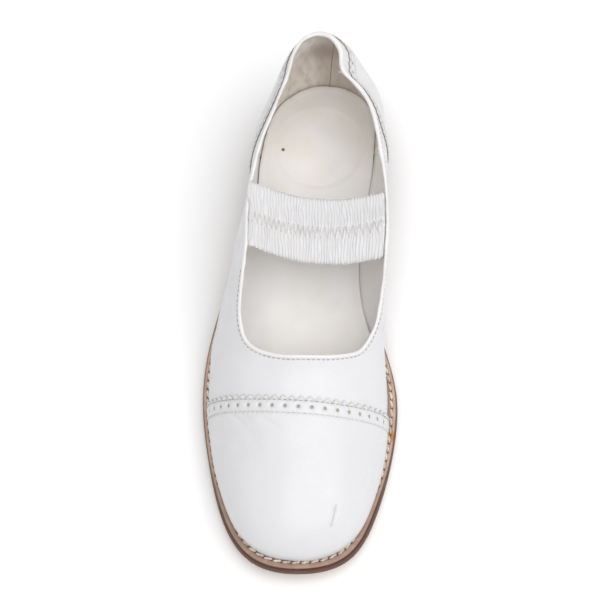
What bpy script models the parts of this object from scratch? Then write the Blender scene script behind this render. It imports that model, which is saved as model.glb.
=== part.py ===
"""Right shoe of a pair: a slip-on with a toe cap, a gathered instep strap and a low stacked heel.

Frame: metres, +Z up, ground at Z = 0.  +Y is the heel, -Y the toe, +X the medial side.
Lengths in the tables are millimetres.  "s" is the distance from the back of the sole towards
the toe, "x" the distance from the heel's centreline towards the medial side, "z" the height.
"""
import bpy
import bmesh
import numpy as np

MM = 0.001

# ---- Driving dimensions (mm) ----------------------------------------------------------------
SOLE_LENGTH = 259.0
MIDDLE_S = 128.9            # the frame's origin, under the middle of the whole shoe
MIDDLE_X = -6.5
HEEL_HEIGHT = 17.5          # ground to the underside of the outsole, at the seat
OUTSOLE_THICKNESS = 4.2
WELT_THICKNESS = 2.7
INSOLE_RISE = 2.5           # top of the insole above the upper's lower edge
TOE_SPRING = 9.0            # lift of the outsole's tip
WALL = 2.0                  # leather and lining of the upper
OVERLAY = 1.2               # leather of the toe cap and of the heel counter
STRAP_THICKNESS = 2.4
GAP = 0.3                   # between neighbouring pieces

SEAT_FRONT = 68.0           # the seat is level from the back to here
TREAD_BACK = 158.0          # the forefoot is flat on the ground from here ...
TREAD_FRONT = 186.0         # ... to here
SPRING_POWER = 1.9

HEEL_CENTRE = 32.0          # the wall's sections fan out behind this s
TOE_CENTRE = 214.0          # and in front of this one
THROAT_FRONT = 165.0        # front edge of the foot opening
THROAT_CORNER = 26.5        # length of the throat's rounded corners
THROAT_SQUARENESS = 2.35    # 2 is an ellipse, more is squarer
THROAT_LATERAL = 34.4       # half widths of the throat at its corners
THROAT_MEDIAL = 40.2

HEEL_BREAST = 70.0          # front face of the heel
HEEL_BREAST_HOLLOW = 4.0
HEEL_TAPER = 1.5            # the heel's foot is this much smaller all round

CAP_LINE = 183.6            # rear edge of the toe cap at its foremost point ...
CAP_LINE_X = 9.0            # ... which lies this far to the medial side
CAP_LINE_SWEEP = 6.7        # its lateral end lies this much nearer the heel
CAP_LINE_REACH = 56.6       # x distance over which it does

STRAP_BACK = 82.1
STRAP_WIDTH = 32.4
STRAP_SKEW = 5.5            # its medial end lies this much nearer the toe
STRAP_TUCK = 9.0            # length of strap hidden behind the topline
STRAP_BOW = 5.3             # its middle lies this much nearer the toe
STRAP_SAG = 3.0             # and this much lower than its ends

# ---- Short tables (mm) ----------------------------------------------------------------------
# Lower edge of the upper seen from above, anticlockwise from the back of the heel.
FEATHER = np.array([
    # s, x
    (2.6, 2.6), (9.2, -16.2), (36.0, -29.4), (70.0, -32.0), (105.0, -39.4), (135.0, -47.2),
    (165.0, -51.0), (200.0, -47.2), (230.8, -38.0), (249.3, -22.9), (253.0, -3.0),
    (248.6, 14.4), (228.2, 28.2), (195.0, 35.9), (168.0, 37.0), (140.0, 31.4),
    (122.0, 25.6), (105.0, 24.0), (70.0, 27.8), (36.0, 32.1), (20.0, 30.3), (9.5, 23.4)])

# How far the sole's edge stands out from the feather.
SOLE_MARGIN = np.array([
    # s, lateral, medial
    (2.6, 2.6, 2.6), (20.0, 3.0, 2.6), (60.0, 3.4, 4.6), (95.0, 3.3, 4.2), (118.0, 3.3, 4.2),
    (145.0, 4.3, 3.8), (165.0, 4.3, 5.0), (185.0, 4.3, 5.1), (215.0, 4.4, 4.4), (240.0, 5.9, 5.4),
    (252.9, 6.9, 6.8)])

# Cross sections of the wall: outward swell of the side, height at which it is taken, where the
# shoulder lies between the ridge (0) and the feather (1), and how far it drops below the ridge.
LATERAL_WALL = np.array([
    # s, swell, rise, shoulder, drop
    (2.6, 5.1, 26.0, 1.02, 12.0), (14.0, 2.3, 26.0, 0.435, 14.0), (38.0, 5.0, 26.0, 0.23, 16.0),
    (75.0, 4.9, 26.0, 0.72, 14.0), (108.0, 8.5, 26.0, 0.31, 10.0), (138.0, 6.0, 24.0, 0.46, 5.0),
    (170.0, 3.0, 22.0, 0.56, 0.0), (214.0, 2.5, 20.0, 0.50, 0.0), (252.9, 3.0, 20.0, 0.55, 0.0)])
MEDIAL_WALL = np.array([
    # s, swell, rise, shoulder, drop
    (2.6, 8.7, 26.0, 1.03, 12.0), (14.0, 12.4, 26.0, 0.19, 14.0), (38.0, 12.0, 28.0, 0.70, 16.0),
    (75.0, 24.5, 32.0, 1.09, 14.0), (108.0, 19.5, 34.0, 2.02, 10.0), (122.0, 16.6, 31.5, 1.75, 7.5),
    (138.0, 10.0, 28.0, 1.16, 5.0), (170.0, 4.0, 22.0, 0.54, 0.0), (214.0, 2.5, 20.0, 0.50, 0.0),
    (252.9, 3.0, 20.0, 0.55, 0.0)])

# The last's ridge; behind the throat it lies over the opening and only guides the sections.
RIDGE = np.array([
    # s, x, z
    (0.0, 2.2, 119.0), (32.0, 2.5, 113.0), (60.0, 1.9, 120.0), (100.0, 1.0, 118.0),
    (130.0, -0.2, 99.0), (150.0, -1.6, 72.5), (170.0, -3.3, 52.0), (190.0, -3.2, 47.5),
    (214.0, -2.8, 42.5)])

TOPLINE = np.array([
    # s, lateral z, medial z
    (3.4, 89.8, 90.6), (20.0, 79.0, 84.1), (50.0, 76.4, 78.0), (85.0, 66.8, 67.6),
    (110.0, 65.0, 62.4), (140.0, 56.5, 48.2), (165.0, 47.0, 46.7)])

# Upper edge of the heel counter seen from the side, at the middle of the shoe's width; the edge
# rises towards the medial side.
COUNTER_TILT = 0.08
COUNTER_EDGE = np.array([
    # s, z
    (-8.0, 85.8), (6.0, 84.3), (16.0, 79.0), (28.0, 76.4), (40.0, 74.0), (47.0, 71.0), (52.0, 66.0),
    (56.0, 56.0), (60.0, 44.0), (64.0, 32.0), (66.0, 18.0)])

TOE_SECTIONS = 19           # sections between the two sides, round the toe
HEEL_SECTIONS = 13
WALL_ROWS = 13
COUNTER_TOP_T = 0.78         # the counter's surface is made up to here, then cut along its edge
SHARP_ANGLE = np.radians(32.0)  # edges steeper than this stay sharp in the shading

COLOURS = {
    # node: (red, green, blue, roughness)
    "outsole": (0.22, 0.085, 0.05, 0.45),
    "heel": (0.17, 0.065, 0.04, 0.42),
    "welt": (0.50, 0.29, 0.20, 0.55),
    "upper": (0.83, 0.83, 0.84, 0.22),
    "toe_cap": (0.83, 0.83, 0.84, 0.18),
    "heel_counter": (0.82, 0.82, 0.83, 0.22),
    "instep_strap": (0.80, 0.80, 0.81, 0.35),
    "insole": (0.72, 0.70, 0.66, 0.50),
}


# ---- Curves ---------------------------------------------------------------------------------
def spline(knots, values, closed=False):
    """Smooth cubic through the values at the knots, as a function of the knot variable."""
    knots = np.asarray(knots, float)
    values = np.asarray(values, float)
    count = len(knots)
    step = np.diff(knots)
    matrix = np.zeros((count, count))
    right = np.zeros_like(values)
    for i in range(1, count - 1):
        matrix[i, i - 1:i + 2] = step[i - 1], 2.0 * (step[i - 1] + step[i]), step[i]
        right[i] = 6.0 * ((values[i + 1] - values[i]) / step[i]
                          - (values[i] - values[i - 1]) / step[i - 1])
    matrix[0, 0] = 1.0
    matrix[-1, -1] = 1.0
    if closed:
        matrix[0, [0, 1, -2]] = 2.0 * (step[-1] + step[0]), step[0], step[-1]
        right[0] = 6.0 * ((values[1] - values[0]) / step[0]
                          - (values[-1] - values[-2]) / step[-1])
        matrix[-1, 0] = -1.0
    bend = np.linalg.solve(matrix, right)

    def value(at):
        at = np.clip(at, knots[0], knots[-1])
        i = int(np.clip(np.searchsorted(knots, at, side="right") - 1, 0, count - 2))
        before = at - knots[i]
        after = knots[i + 1] - at
        h = step[i]
        return ((bend[i] * after ** 3 + bend[i + 1] * before ** 3) / (6.0 * h)
                + (values[i] / h - bend[i] * h / 6.0) * after
                + (values[i + 1] / h - bend[i + 1] * h / 6.0) * before)

    return value


def dense_loop(points, count):
    """Evenly spaced points of the smooth closed curve through the given ones."""
    ring = np.vstack([points, points[:1]])
    knots = np.concatenate([[0.0], np.cumsum(np.linalg.norm(np.diff(ring, axis=0), axis=1))])
    curve = spline(knots, ring, closed=True)
    return np.array([curve(knots[-1] * i / count) for i in range(count)])


def outward(loop):
    """Unit normals of a closed loop of (s, x) points, pointing out of it."""
    along = np.roll(loop, -1, axis=0) - np.roll(loop, 1, axis=0)
    normal = np.stack([along[:, 1], -along[:, 0]], axis=1)
    normal /= np.linalg.norm(normal, axis=1)[:, None]
    centre = loop.mean(axis=0)
    return normal if np.sum(normal * (loop - centre)) > 0.0 else -normal


def smooth_step(value):
    value = min(max(value, 0.0), 1.0)
    return value ** 3 * (value * (6.0 * value - 15.0) + 10.0)


FEATHER_LOOP = dense_loop(FEATHER, 720)
RIDGE_X = spline(RIDGE[:, 0], RIDGE[:, 1])
RIDGE_Z = spline(RIDGE[:, 0], RIDGE[:, 2])
WALLS = (spline(LATERAL_WALL[:, 0], LATERAL_WALL[:, 1:]),
         spline(MEDIAL_WALL[:, 0], MEDIAL_WALL[:, 1:]))
TOP_HEIGHT = spline(TOPLINE[:, 0], TOPLINE[:, 1:])
MARGIN = spline(SOLE_MARGIN[:, 0], SOLE_MARGIN[:, 1:])


# ---- The sole's levels ----------------------------------------------------------------------
def sole_underside(s):
    """Height of the outsole's underside: level seat, arched waist, flat tread, toe spring."""
    seat = HEEL_HEIGHT * smooth_step((TREAD_BACK - s) / (TREAD_BACK - SEAT_FRONT))
    ahead = max(s - TREAD_FRONT, 0.0) / (SOLE_LENGTH - TREAD_FRONT)
    return seat + TOE_SPRING * ahead ** SPRING_POWER


def outsole_top(s):
    return sole_underside(s) + OUTSOLE_THICKNESS


def welt_underside(s):
    return outsole_top(s) + GAP


def welt_top(s):
    return welt_underside(s) + WELT_THICKNESS


def feather_height(s):
    return welt_top(s) + GAP


def insole_top(s):
    return feather_height(s) + INSOLE_RISE


def medial_share(x):
    """0 on the lateral side, 1 on the medial side, smooth across the centreline."""
    share = min(max(0.5 + x / 24.0, 0.0), 1.0)
    return share * share * (3.0 - 2.0 * share)


def offset_loop(distance, count):
    """The feather moved outwards by a distance, or by the sole's own margin if None."""
    loop = FEATHER_LOOP[::len(FEATHER_LOOP) // count]
    normal = outward(FEATHER_LOOP)[::len(FEATHER_LOOP) // count]
    if distance is not None:
        return loop + normal * distance
    moved = []
    for point, direction in zip(loop, normal):
        share = medial_share(point[1])
        lateral, medial = MARGIN(point[0])
        moved.append(point + direction * ((1.0 - share) * lateral + share * medial))
    return np.array(moved)


# ---- The upper's wall -----------------------------------------------------------------------
class Section:
    """One section of the wall, from the feather up to the ridge."""

    def __init__(self, centre_s, foot):
        self.centre = np.array([centre_s, RIDGE_X(centre_s)])
        self.foot = np.asarray(foot, float)
        reach = self.foot - self.centre
        self.length = float(np.hypot(*reach))
        self.direction = reach / self.length
        share = medial_share(reach[1])
        lateral, medial = WALLS[0](self.foot[0]), WALLS[1](self.foot[0])
        swell, rise, shoulder, drop = (1.0 - share) * lateral + share * medial
        low = feather_height(self.foot[0])
        high = RIDGE_Z(centre_s)
        slope = 0.0
        if centre_s >= TOE_CENTRE:
            slope = (RIDGE_Z(TOE_CENTRE) - RIDGE_Z(TOE_CENTRE - 1.0)) * self.direction[0]
        reach_in = shoulder * self.length
        self.poles = np.array([
            (self.length, low), (self.length + swell, low + rise),
            (reach_in, high - drop + slope * reach_in), (0.0, high)])
        top = TOP_HEIGHT(self.foot[0])
        self.top_height = (1.0 - share) * top[0] + share * top[1]
        self.half_throat = (1.0 - share) * THROAT_LATERAL + share * THROAT_MEDIAL
        self.top = self.topline_at()

    def flat(self, t):
        """Distance from the ridge and height, at t from 0 (feather) to 1 (ridge)."""
        weights = np.array([(1 - t) ** 3, 3 * (1 - t) ** 2 * t, 3 * (1 - t) * t * t, t ** 3])
        return weights @ self.poles

    def topline_at(self):
        """t where the topline crosses this section, 1 in front of the throat."""
        if self.centre[0] >= THROAT_FRONT:
            return 1.0
        samples = np.linspace(0.0, 1.0, 121)
        reach, height = np.array([self.flat(t) for t in samples]).T
        by_height = float(np.interp(self.top_height, height, samples))
        ahead = min((THROAT_FRONT - self.centre[0]) / THROAT_CORNER, 1.0)
        power = THROAT_SQUARENESS
        width = self.half_throat * (1.0 - (1.0 - ahead) ** power) ** (1.0 / power)
        widest = int(np.argmax(reach))
        by_width = float(np.interp(-width, -reach[widest:], samples[widest:]))
        soft = 0.02
        return min(soft * float(np.logaddexp(by_height / soft, by_width / soft)), 1.0)

    def point(self, t):
        reach, height = self.flat(t)
        s, x = self.centre + self.direction * reach
        return np.array([s, x, height])


def foot_on_side(s, lateral):
    """The feather's point at a given s on one side."""
    front = int(np.argmax(FEATHER_LOOP[:, 0]))
    side = FEATHER_LOOP[:front + 1] if lateral else FEATHER_LOOP[front:]
    side = side[np.argsort(side[:, 0])]
    return np.array([s, np.interp(s, side[:, 0], side[:, 1])])


def foot_in_fan(centre_s, heading):
    """The feather's point seen from a centre on the ridge, heading 0 = +s, 90 degrees = +x."""
    centre = np.array([centre_s, RIDGE_X(centre_s)])
    reach = FEATHER_LOOP - centre
    angle = np.arctan2(reach[:, 1], reach[:, 0])
    distance = np.hypot(reach[:, 0], reach[:, 1])
    order = np.argsort(angle)
    radius = np.interp(heading, angle[order], distance[order], period=2.0 * np.pi)
    return centre + radius * np.array([np.cos(heading), np.sin(heading)])


def side_stations(first_s):
    """Stations of a side, close together where the throat's front edge sweeps across them."""
    power = THROAT_SQUARENESS
    corner = []
    for width in (0.98, 0.93, 0.84, 0.70, 0.50, 0.25, 0.0):
        ahead = 1.0 - (1.0 - width ** power) ** (1.0 / power)
        corner.append(THROAT_FRONT - THROAT_CORNER * ahead)
    behind = np.linspace(HEEL_CENTRE, corner[0], 15)[:-1]
    front = np.linspace(THROAT_FRONT, TOE_CENTRE, 8)[1:]
    stations = np.concatenate([behind, corner, front])
    return stations[stations >= first_s - 0.001]


def sections_round(first_s, toe_count, heel_count):
    """Sections from the medial side at first_s, round the toe, to the lateral side at first_s.

    With heel_count above 0 they go on round the heel and close the ring.
    """
    half_turn = np.pi / 2.0
    along = side_stations(first_s)
    ring = [Section(s, foot_on_side(s, False)) for s in along]
    for heading in np.linspace(half_turn, -half_turn, toe_count + 2)[1:-1]:
        ring.append(Section(TOE_CENTRE, foot_in_fan(TOE_CENTRE, heading)))
    ring += [Section(s, foot_on_side(s, True)) for s in along[::-1]]
    if heel_count:
        for heading in np.linspace(-half_turn, -3.0 * half_turn, heel_count + 2)[1:-1]:
            ring.append(Section(HEEL_CENTRE, foot_in_fan(HEEL_CENTRE, heading)))
    return ring


def sections_heel(front_s, heel_count):
    """Sections from the lateral side at front_s, round the heel, to the medial side."""
    half_turn = np.pi / 2.0
    along = side_stations(HEEL_CENTRE)
    along = along[along < front_s]
    ring = [Section(s, foot_on_side(s, True)) for s in along[::-1]]
    for heading in np.linspace(-half_turn, -3.0 * half_turn, heel_count + 2)[1:-1]:
        ring.append(Section(HEEL_CENTRE, foot_in_fan(HEEL_CENTRE, heading)))
    return ring + [Section(s, foot_on_side(s, False)) for s in along]


# ---- Meshes ---------------------------------------------------------------------------------
def world(point):
    """From (s, x, z) in millimetres to the shared frame in metres."""
    return ((point[1] - MIDDLE_X) * MM, (MIDDLE_S - point[0]) * MM, point[2] * MM)


def make_material(name):
    red, green, blue, roughness = COLOURS[name]
    material = bpy.data.materials.new(name)
    material.use_nodes = True
    shader = material.node_tree.nodes["Principled BSDF"]
    shader.inputs["Base Color"].default_value = (red, green, blue, 1.0)
    shader.inputs["Roughness"].default_value = roughness
    shader.inputs["Metallic"].default_value = 0.0
    material.diffuse_color = (red, green, blue, 1.0)
    return material


def finish(mesh_data, name, collection, material=None):
    """Turn bmesh data into a named object with its faces pointing out."""
    bmesh.ops.recalc_face_normals(mesh_data, faces=mesh_data.faces)
    mesh = bpy.data.meshes.new(name)
    mesh_data.to_mesh(mesh)
    mesh_data.free()
    mesh.shade_smooth()
    mesh.set_sharp_from_angle(angle=SHARP_ANGLE)
    thing = bpy.data.objects.new(name, mesh)
    collection.objects.link(thing)
    if material is not None:
        mesh.materials.append(material)
    return thing


def plate(name, loop, under, over, collection, material=None, taper=0.0):
    """A plate with the given plan, following two heights along s.

    The lower face is drawn in by the taper, so that the edge leans.
    """
    data = bmesh.new()
    centre = loop.mean(axis=0)
    data.faces.new([data.verts.new((x, s, 0.0)) for s, x in loop])
    for s in np.arange(8.0, SOLE_LENGTH, 8.0):
        everything = data.verts[:] + data.edges[:] + data.faces[:]
        bmesh.ops.bisect_plane(data, geom=everything, dist=0.001,
                               plane_co=(0.0, s, 0.0), plane_no=(0.0, 1.0, 0.0))
    grown = bmesh.ops.extrude_face_region(data, geom=data.faces[:])["geom"]
    upper_verts = {item for item in grown if isinstance(item, bmesh.types.BMVert)}
    for vert in data.verts:
        s, x = vert.co.y, vert.co.x
        height = over(s) if vert in upper_verts else under(s)
        if vert not in upper_verts and taper:
            reach = np.array([s, x]) - centre
            shrink = 1.0 - taper / max(float(np.hypot(*reach)), 1.0)
            s, x = centre + reach * shrink
        vert.co = world((s, x, height))
    bmesh.ops.triangulate(data, faces=data.faces[:])
    return finish(data, name, collection, material)


def band(name, outer, inner, under, over, collection, material):
    """A closed band between two loops of the same count, following two heights along s."""
    data = bmesh.new()
    rings = []
    for loop, height in ((outer, under), (outer, over), (inner, over), (inner, under)):
        rings.append([data.verts.new(world((s, x, height(s)))) for s, x in loop])
    count = len(outer)
    for ring, following in zip(rings, rings[1:] + rings[:1]):
        for i in range(count):
            j = (i + 1) % count
            data.faces.new((ring[i], ring[j], following[j], following[i]))
    return finish(data, name, collection, material)


def wall_surface(sections, rows, closed, over_top=None):
    """Open surface over the sections; where they reach the ridge the two sides share vertices.

    over_top runs the surface past the topline, up to that fixed t, to be cut off later.
    """
    data = bmesh.new()
    grid = []
    ridge = {}
    for section in sections:
        last = section.top if over_top is None else over_top
        column = []
        for row in range(rows + 1):
            t = last * row / rows
            key = round(float(section.centre[0]), 3)
            if row == rows and last >= 1.0:
                if key not in ridge:
                    ridge[key] = data.verts.new(section.point(1.0))
                column.append(ridge[key])
            else:
                column.append(data.verts.new(section.point(t)))
        grid.append(column)
    columns = list(zip(grid, grid[1:] + grid[:1])) if closed else list(zip(grid, grid[1:]))
    for left, right in columns:
        for row in range(rows):
            corners = [left[row], right[row], right[row + 1], left[row + 1]]
            distinct = [v for k, v in enumerate(corners) if v not in corners[:k]]
            if len(distinct) > 2:
                data.faces.new(distinct)
    bmesh.ops.recalc_face_normals(data, faces=data.faces)
    top_face = max(data.faces, key=lambda face: face.calc_center_median().z)
    if not closed or top_face.normal.z < 0.0:
        middle = np.array([np.mean([v.co[k] for v in data.verts]) for k in range(3)])
        outwards = sum(float(np.dot(np.array(f.calc_center_median()) - middle, f.normal))
                       for f in data.faces)
        if outwards < 0.0:
            bmesh.ops.reverse_faces(data, faces=data.faces[:])
    data.normal_update()
    return data


def thicken(data, near, far, foot_clearance):
    """Close an open surface into a solid between two distances along its outward normals.

    Boundary vertices on the lower edge stay at the feather's height plus the clearance.
    """
    verts = data.verts[:]
    low = {v for v in verts if v.is_boundary
           and abs(v.co.z - feather_height(v.co.x)) < 0.5}
    boundary = [edge for edge in data.edges if edge.is_boundary]
    faces = data.faces[:]
    layers = []
    for distance in (near, far):
        layer = {}
        for vert in verts:
            place = vert.co + vert.normal * distance
            if vert in low:
                flat = vert.normal.copy()
                flat.z = 0.0
                flat.normalize()
                place = vert.co + flat * distance
                place.z = feather_height(place.x) + foot_clearance
            layer[vert] = data.verts.new(place)
        layers.append(layer)
    inner, outer = layers
    for face in faces:
        data.faces.new([outer[v] for v in face.verts])
        data.faces.new([inner[v] for v in reversed(face.verts)])
    for edge in boundary:
        a, b = edge.verts
        data.faces.new((inner[a], inner[b], outer[b], outer[a]))
    bmesh.ops.delete(data, geom=verts, context="VERTS")
    for vert in data.verts:
        vert.co = world(vert.co)
    bmesh.ops.recalc_face_normals(data, faces=data.faces)
    return data


def prism(name, outline, axis, low, high, collection, tilt=0.0):
    """A cutter: an outline of (s, value) points run between two limits of one axis.

    The values rise by the tilt along that axis.
    """
    data = bmesh.new()
    layers = []
    for level in (low, high):
        if axis == "z":
            layers.append([data.verts.new(world((s, value, level))) for s, value in outline])
        else:
            layers.append([data.verts.new(world((s, level, value + tilt * level)))
                           for s, value in outline])
    data.faces.new(layers[0])
    data.faces.new(layers[1][::-1])
    count = len(outline)
    for i in range(count):
        j = (i + 1) % count
        data.faces.new((layers[0][i], layers[1][i], layers[1][j], layers[0][j]))
    cutter = finish(data, name, collection)
    cutter.hide_render = True
    cutter.display_type = "WIRE"
    return cutter


def keep_inside(thing, cutter):
    """Keep only what lies inside the cutter."""
    cut = thing.modifiers.new("cut", "BOOLEAN")
    cut.operation = "INTERSECT"
    cut.solver = "EXACT"
    cut.object = cutter


# ---- The pieces -----------------------------------------------------------------------------
def build_upper(collection):
    sections = sections_round(HEEL_CENTRE, TOE_SECTIONS, HEEL_SECTIONS)
    data = thicken(wall_surface(sections, WALL_ROWS, True), -WALL, 0.0, 0.0)
    return finish(data, "upper", collection, make_material("upper"))


def cap_line(x):
    """s of the toe cap's rear edge at a given x."""
    return CAP_LINE - CAP_LINE_SWEEP * ((x - CAP_LINE_X) / CAP_LINE_REACH) ** 2


def build_toe_cap(collection, cutters):
    sections = sections_round(CAP_LINE - 18.0, TOE_SECTIONS, 0)
    data = thicken(wall_surface(sections, WALL_ROWS, False, 1.0), GAP, GAP + OVERLAY, 0.0)
    cap = finish(data, "toe_cap", collection, make_material("toe_cap"))
    rear = [(cap_line(x), x) for x in np.linspace(-60.0, 60.0, 25)]
    front = [(SOLE_LENGTH + 10.0, 60.0), (SOLE_LENGTH + 10.0, -60.0)]
    keep_inside(cap, prism("toe_cap_cutter", rear + front, "z", -5.0, 90.0, cutters))
    return cap


def build_heel_counter(collection, cutters):
    sections = sections_heel(88.0, HEEL_SECTIONS)
    data = thicken(wall_surface(sections, WALL_ROWS, False, COUNTER_TOP_T), GAP, GAP + OVERLAY, 0.0)
    counter = finish(data, "heel_counter", collection, make_material("heel_counter"))
    edge = spline(COUNTER_EDGE[:, 0], COUNTER_EDGE[:, 1])
    outline = [(s, float(edge(s))) for s in np.linspace(-8.0, COUNTER_EDGE[-1, 0], 34)]
    outline += [(COUNTER_EDGE[-1, 0], -5.0), (-8.0, -5.0)]
    keep_inside(counter, prism("counter_cutter", outline, "x", -70.0, 70.0, cutters, COUNTER_TILT))
    return counter


def strap_point(across, along):
    """Middle of the strap's leather.

    across runs from 0 (rear edge) to 1 (front edge), along from -1 (lateral) to 1 (medial);
    beyond 0.84 the strap hangs down inside the upper's wall.
    """
    hang = WALL + GAP + STRAP_THICKNESS / 2.0 + 0.5
    ends = []
    for side in (-1.0, 1.0):
        s = STRAP_BACK + STRAP_SKEW * side / 2.0 + across * STRAP_WIDTH
        section = Section(s, foot_on_side(s, side < 0.0))
        depth = STRAP_TUCK * max(abs(along) - 0.84, 0.0) / 0.16 if along * side > 0.0 else 0.0
        samples = np.linspace(0.0, section.top, 61)
        heights = [section.point(t)[2] for t in samples]
        t = float(np.interp(heights[-1] - depth, heights, samples))
        place = section.point(t)
        place[1] -= section.direction[1] * hang
        ends.append(place)
    share = min(max((along / 0.84 + 1.0) / 2.0, 0.0), 1.0)
    middle = (1.0 - share) * ends[0] + share * ends[1]
    curve = 4.0 * share * (1.0 - share)
    middle[0] += STRAP_BOW * curve
    middle[2] -= STRAP_SAG * curve
    return middle


def build_strap(collection):
    data = bmesh.new()
    grid = []
    for along in np.linspace(-1.0, 1.0, 26):
        column = [data.verts.new(strap_point(k / 4.0, along)) for k in range(5)]
        grid.append(column)
    for left, right in zip(grid, grid[1:]):
        for k in range(4):
            data.faces.new((left[k], right[k], right[k + 1], left[k + 1]))
    data.normal_update()
    half = STRAP_THICKNESS / 2.0
    solid = thicken(data, -half, half, 0.0)
    return finish(solid, "instep_strap", collection, make_material("instep_strap"))


def build_sole(collection):
    edge = offset_loop(None, 120)
    plate("outsole", edge, sole_underside, outsole_top, collection, make_material("outsole"))
    band("welt", edge, offset_loop(-WALL, 120), welt_underside, welt_top, collection,
         make_material("welt"))
    plate("insole", offset_loop(-WALL - GAP, 90), welt_underside, insole_top, collection,
          make_material("insole"))


def build_heel(collection):
    edge = offset_loop(None, 360)
    back = edge[edge[:, 0] < HEEL_BREAST]
    order = np.argsort(np.arctan2(back[:, 1], HEEL_BREAST - back[:, 0]))
    back = back[order][::3]
    medial, lateral = back[-1], back[0]
    breast = []
    for k in np.linspace(0.0, 1.0, 11):
        hollow = HEEL_BREAST_HOLLOW * 4.0 * k * (1.0 - k)
        breast.append((HEEL_BREAST - hollow, medial[1] + k * (lateral[1] - medial[1])))
    loop = np.vstack([back, breast])
    plate("heel", loop, lambda s: 0.0, lambda s: HEEL_HEIGHT - GAP, collection,
          make_material("heel"), taper=HEEL_TAPER)


def main():
    for thing in list(bpy.data.objects):
        bpy.data.objects.remove(thing, do_unlink=True)
    shoe = bpy.data.collections.new("heeled_shoe")
    cutters = bpy.data.collections.new("cutters")
    bpy.context.scene.collection.children.link(shoe)
    bpy.context.scene.collection.children.link(cutters)
    build_sole(shoe)
    build_heel(shoe)
    build_upper(shoe)
    build_toe_cap(shoe, cutters)
    build_heel_counter(shoe, cutters)
    build_strap(shoe)


main()
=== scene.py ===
"""Looks of a right leather shoe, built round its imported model.

The shoe is a slip-on with a pinked and perforated toe cap, a heel counter cut the same way, a
gathered strap over the instep, a stitched welt and a low stacked heel.

Sizes are millimetres unless a name says otherwise.  "s" runs from the back of the sole towards
the toe, "x" from the heel's centreline towards the medial side and "z" up from the ground.  In
the frame +Y is the heel, -Y the toe and +X the medial side.
"""
import logging
import math
from dataclasses import dataclass, field
from enum import Enum
from typing import Callable, ClassVar, Optional, Sequence

import bmesh
import bpy
import numpy as np
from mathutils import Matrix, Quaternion, Vector
from mathutils.geometry import delaunay_2d_cdt
from mathutils.bvhtree import BVHTree
from mathutils.kdtree import KDTree


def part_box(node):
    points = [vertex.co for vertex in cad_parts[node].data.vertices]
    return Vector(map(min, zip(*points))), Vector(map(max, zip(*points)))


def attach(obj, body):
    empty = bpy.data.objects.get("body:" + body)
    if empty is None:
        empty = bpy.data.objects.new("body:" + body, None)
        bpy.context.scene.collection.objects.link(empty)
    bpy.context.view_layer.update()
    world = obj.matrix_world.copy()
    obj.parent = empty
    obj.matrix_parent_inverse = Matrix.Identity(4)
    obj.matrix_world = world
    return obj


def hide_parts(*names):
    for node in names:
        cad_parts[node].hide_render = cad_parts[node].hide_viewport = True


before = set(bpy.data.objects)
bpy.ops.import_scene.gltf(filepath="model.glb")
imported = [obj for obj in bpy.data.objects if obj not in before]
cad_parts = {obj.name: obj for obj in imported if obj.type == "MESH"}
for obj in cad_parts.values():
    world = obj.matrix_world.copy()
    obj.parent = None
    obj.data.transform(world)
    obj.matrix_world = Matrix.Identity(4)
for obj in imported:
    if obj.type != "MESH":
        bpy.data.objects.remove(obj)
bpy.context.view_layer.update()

LOG = logging.getLogger("shoe")
MM = 0.001
Array = np.ndarray
Heights = Callable[[Array, Array], Array]
Made = list[bpy.types.Object]

# ---- The last's short tables ----------------------------------------------------------------
# Lower edge of the upper seen from above, anticlockwise from the back of the heel.
FEATHER: Array = np.array([
    # s, x
    (2.6, 2.6), (9.2, -16.2), (36.0, -29.4), (70.0, -32.0), (105.0, -39.4), (135.0, -47.2),
    (165.0, -51.0), (200.0, -47.2), (230.8, -38.0), (249.3, -22.9), (253.0, -3.0),
    (248.6, 14.4), (228.2, 28.2), (195.0, 35.9), (168.0, 37.0), (140.0, 31.4),
    (122.0, 25.6), (105.0, 24.0), (70.0, 27.8), (36.0, 32.1), (20.0, 30.3), (9.5, 23.4)])

# How far the sole's edge stands out from the feather.
SOLE_MARGIN: Array = np.array([
    # s, lateral, medial
    (2.6, 2.6, 2.6), (20.0, 3.0, 2.6), (60.0, 3.4, 4.6), (95.0, 3.3, 4.2), (118.0, 3.3, 4.2),
    (145.0, 4.3, 3.8), (165.0, 4.3, 5.0), (185.0, 4.3, 5.1), (215.0, 4.4, 4.4), (240.0, 5.9, 5.4),
    (252.9, 6.9, 6.8)])

# Sections of the wall: outward swell, height at which it is taken, where the shoulder lies
# between the ridge (0) and the feather (1), and how far it drops below the ridge.
LATERAL_WALL: Array = np.array([
    # s, swell, rise, shoulder, drop
    (2.6, 5.1, 26.0, 1.02, 12.0), (14.0, 2.3, 26.0, 0.435, 14.0), (38.0, 5.0, 26.0, 0.23, 16.0),
    (75.0, 4.9, 26.0, 0.72, 14.0), (108.0, 8.5, 26.0, 0.31, 10.0), (138.0, 6.0, 24.0, 0.46, 5.0),
    (170.0, 3.0, 22.0, 0.56, 0.0), (214.0, 2.5, 20.0, 0.50, 0.0), (252.9, 3.0, 20.0, 0.55, 0.0)])
MEDIAL_WALL: Array = np.array([
    # s, swell, rise, shoulder, drop
    (2.6, 8.7, 26.0, 1.03, 12.0), (14.0, 12.4, 26.0, 0.19, 14.0), (38.0, 12.0, 28.0, 0.70, 16.0),
    (75.0, 24.5, 32.0, 1.09, 14.0), (108.0, 19.5, 34.0, 2.02, 10.0), (122.0, 16.6, 31.5, 1.75, 7.5),
    (138.0, 10.0, 28.0, 1.16, 5.0), (170.0, 4.0, 22.0, 0.54, 0.0), (214.0, 2.5, 20.0, 0.50, 0.0),
    (252.9, 3.0, 20.0, 0.55, 0.0)])

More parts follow.
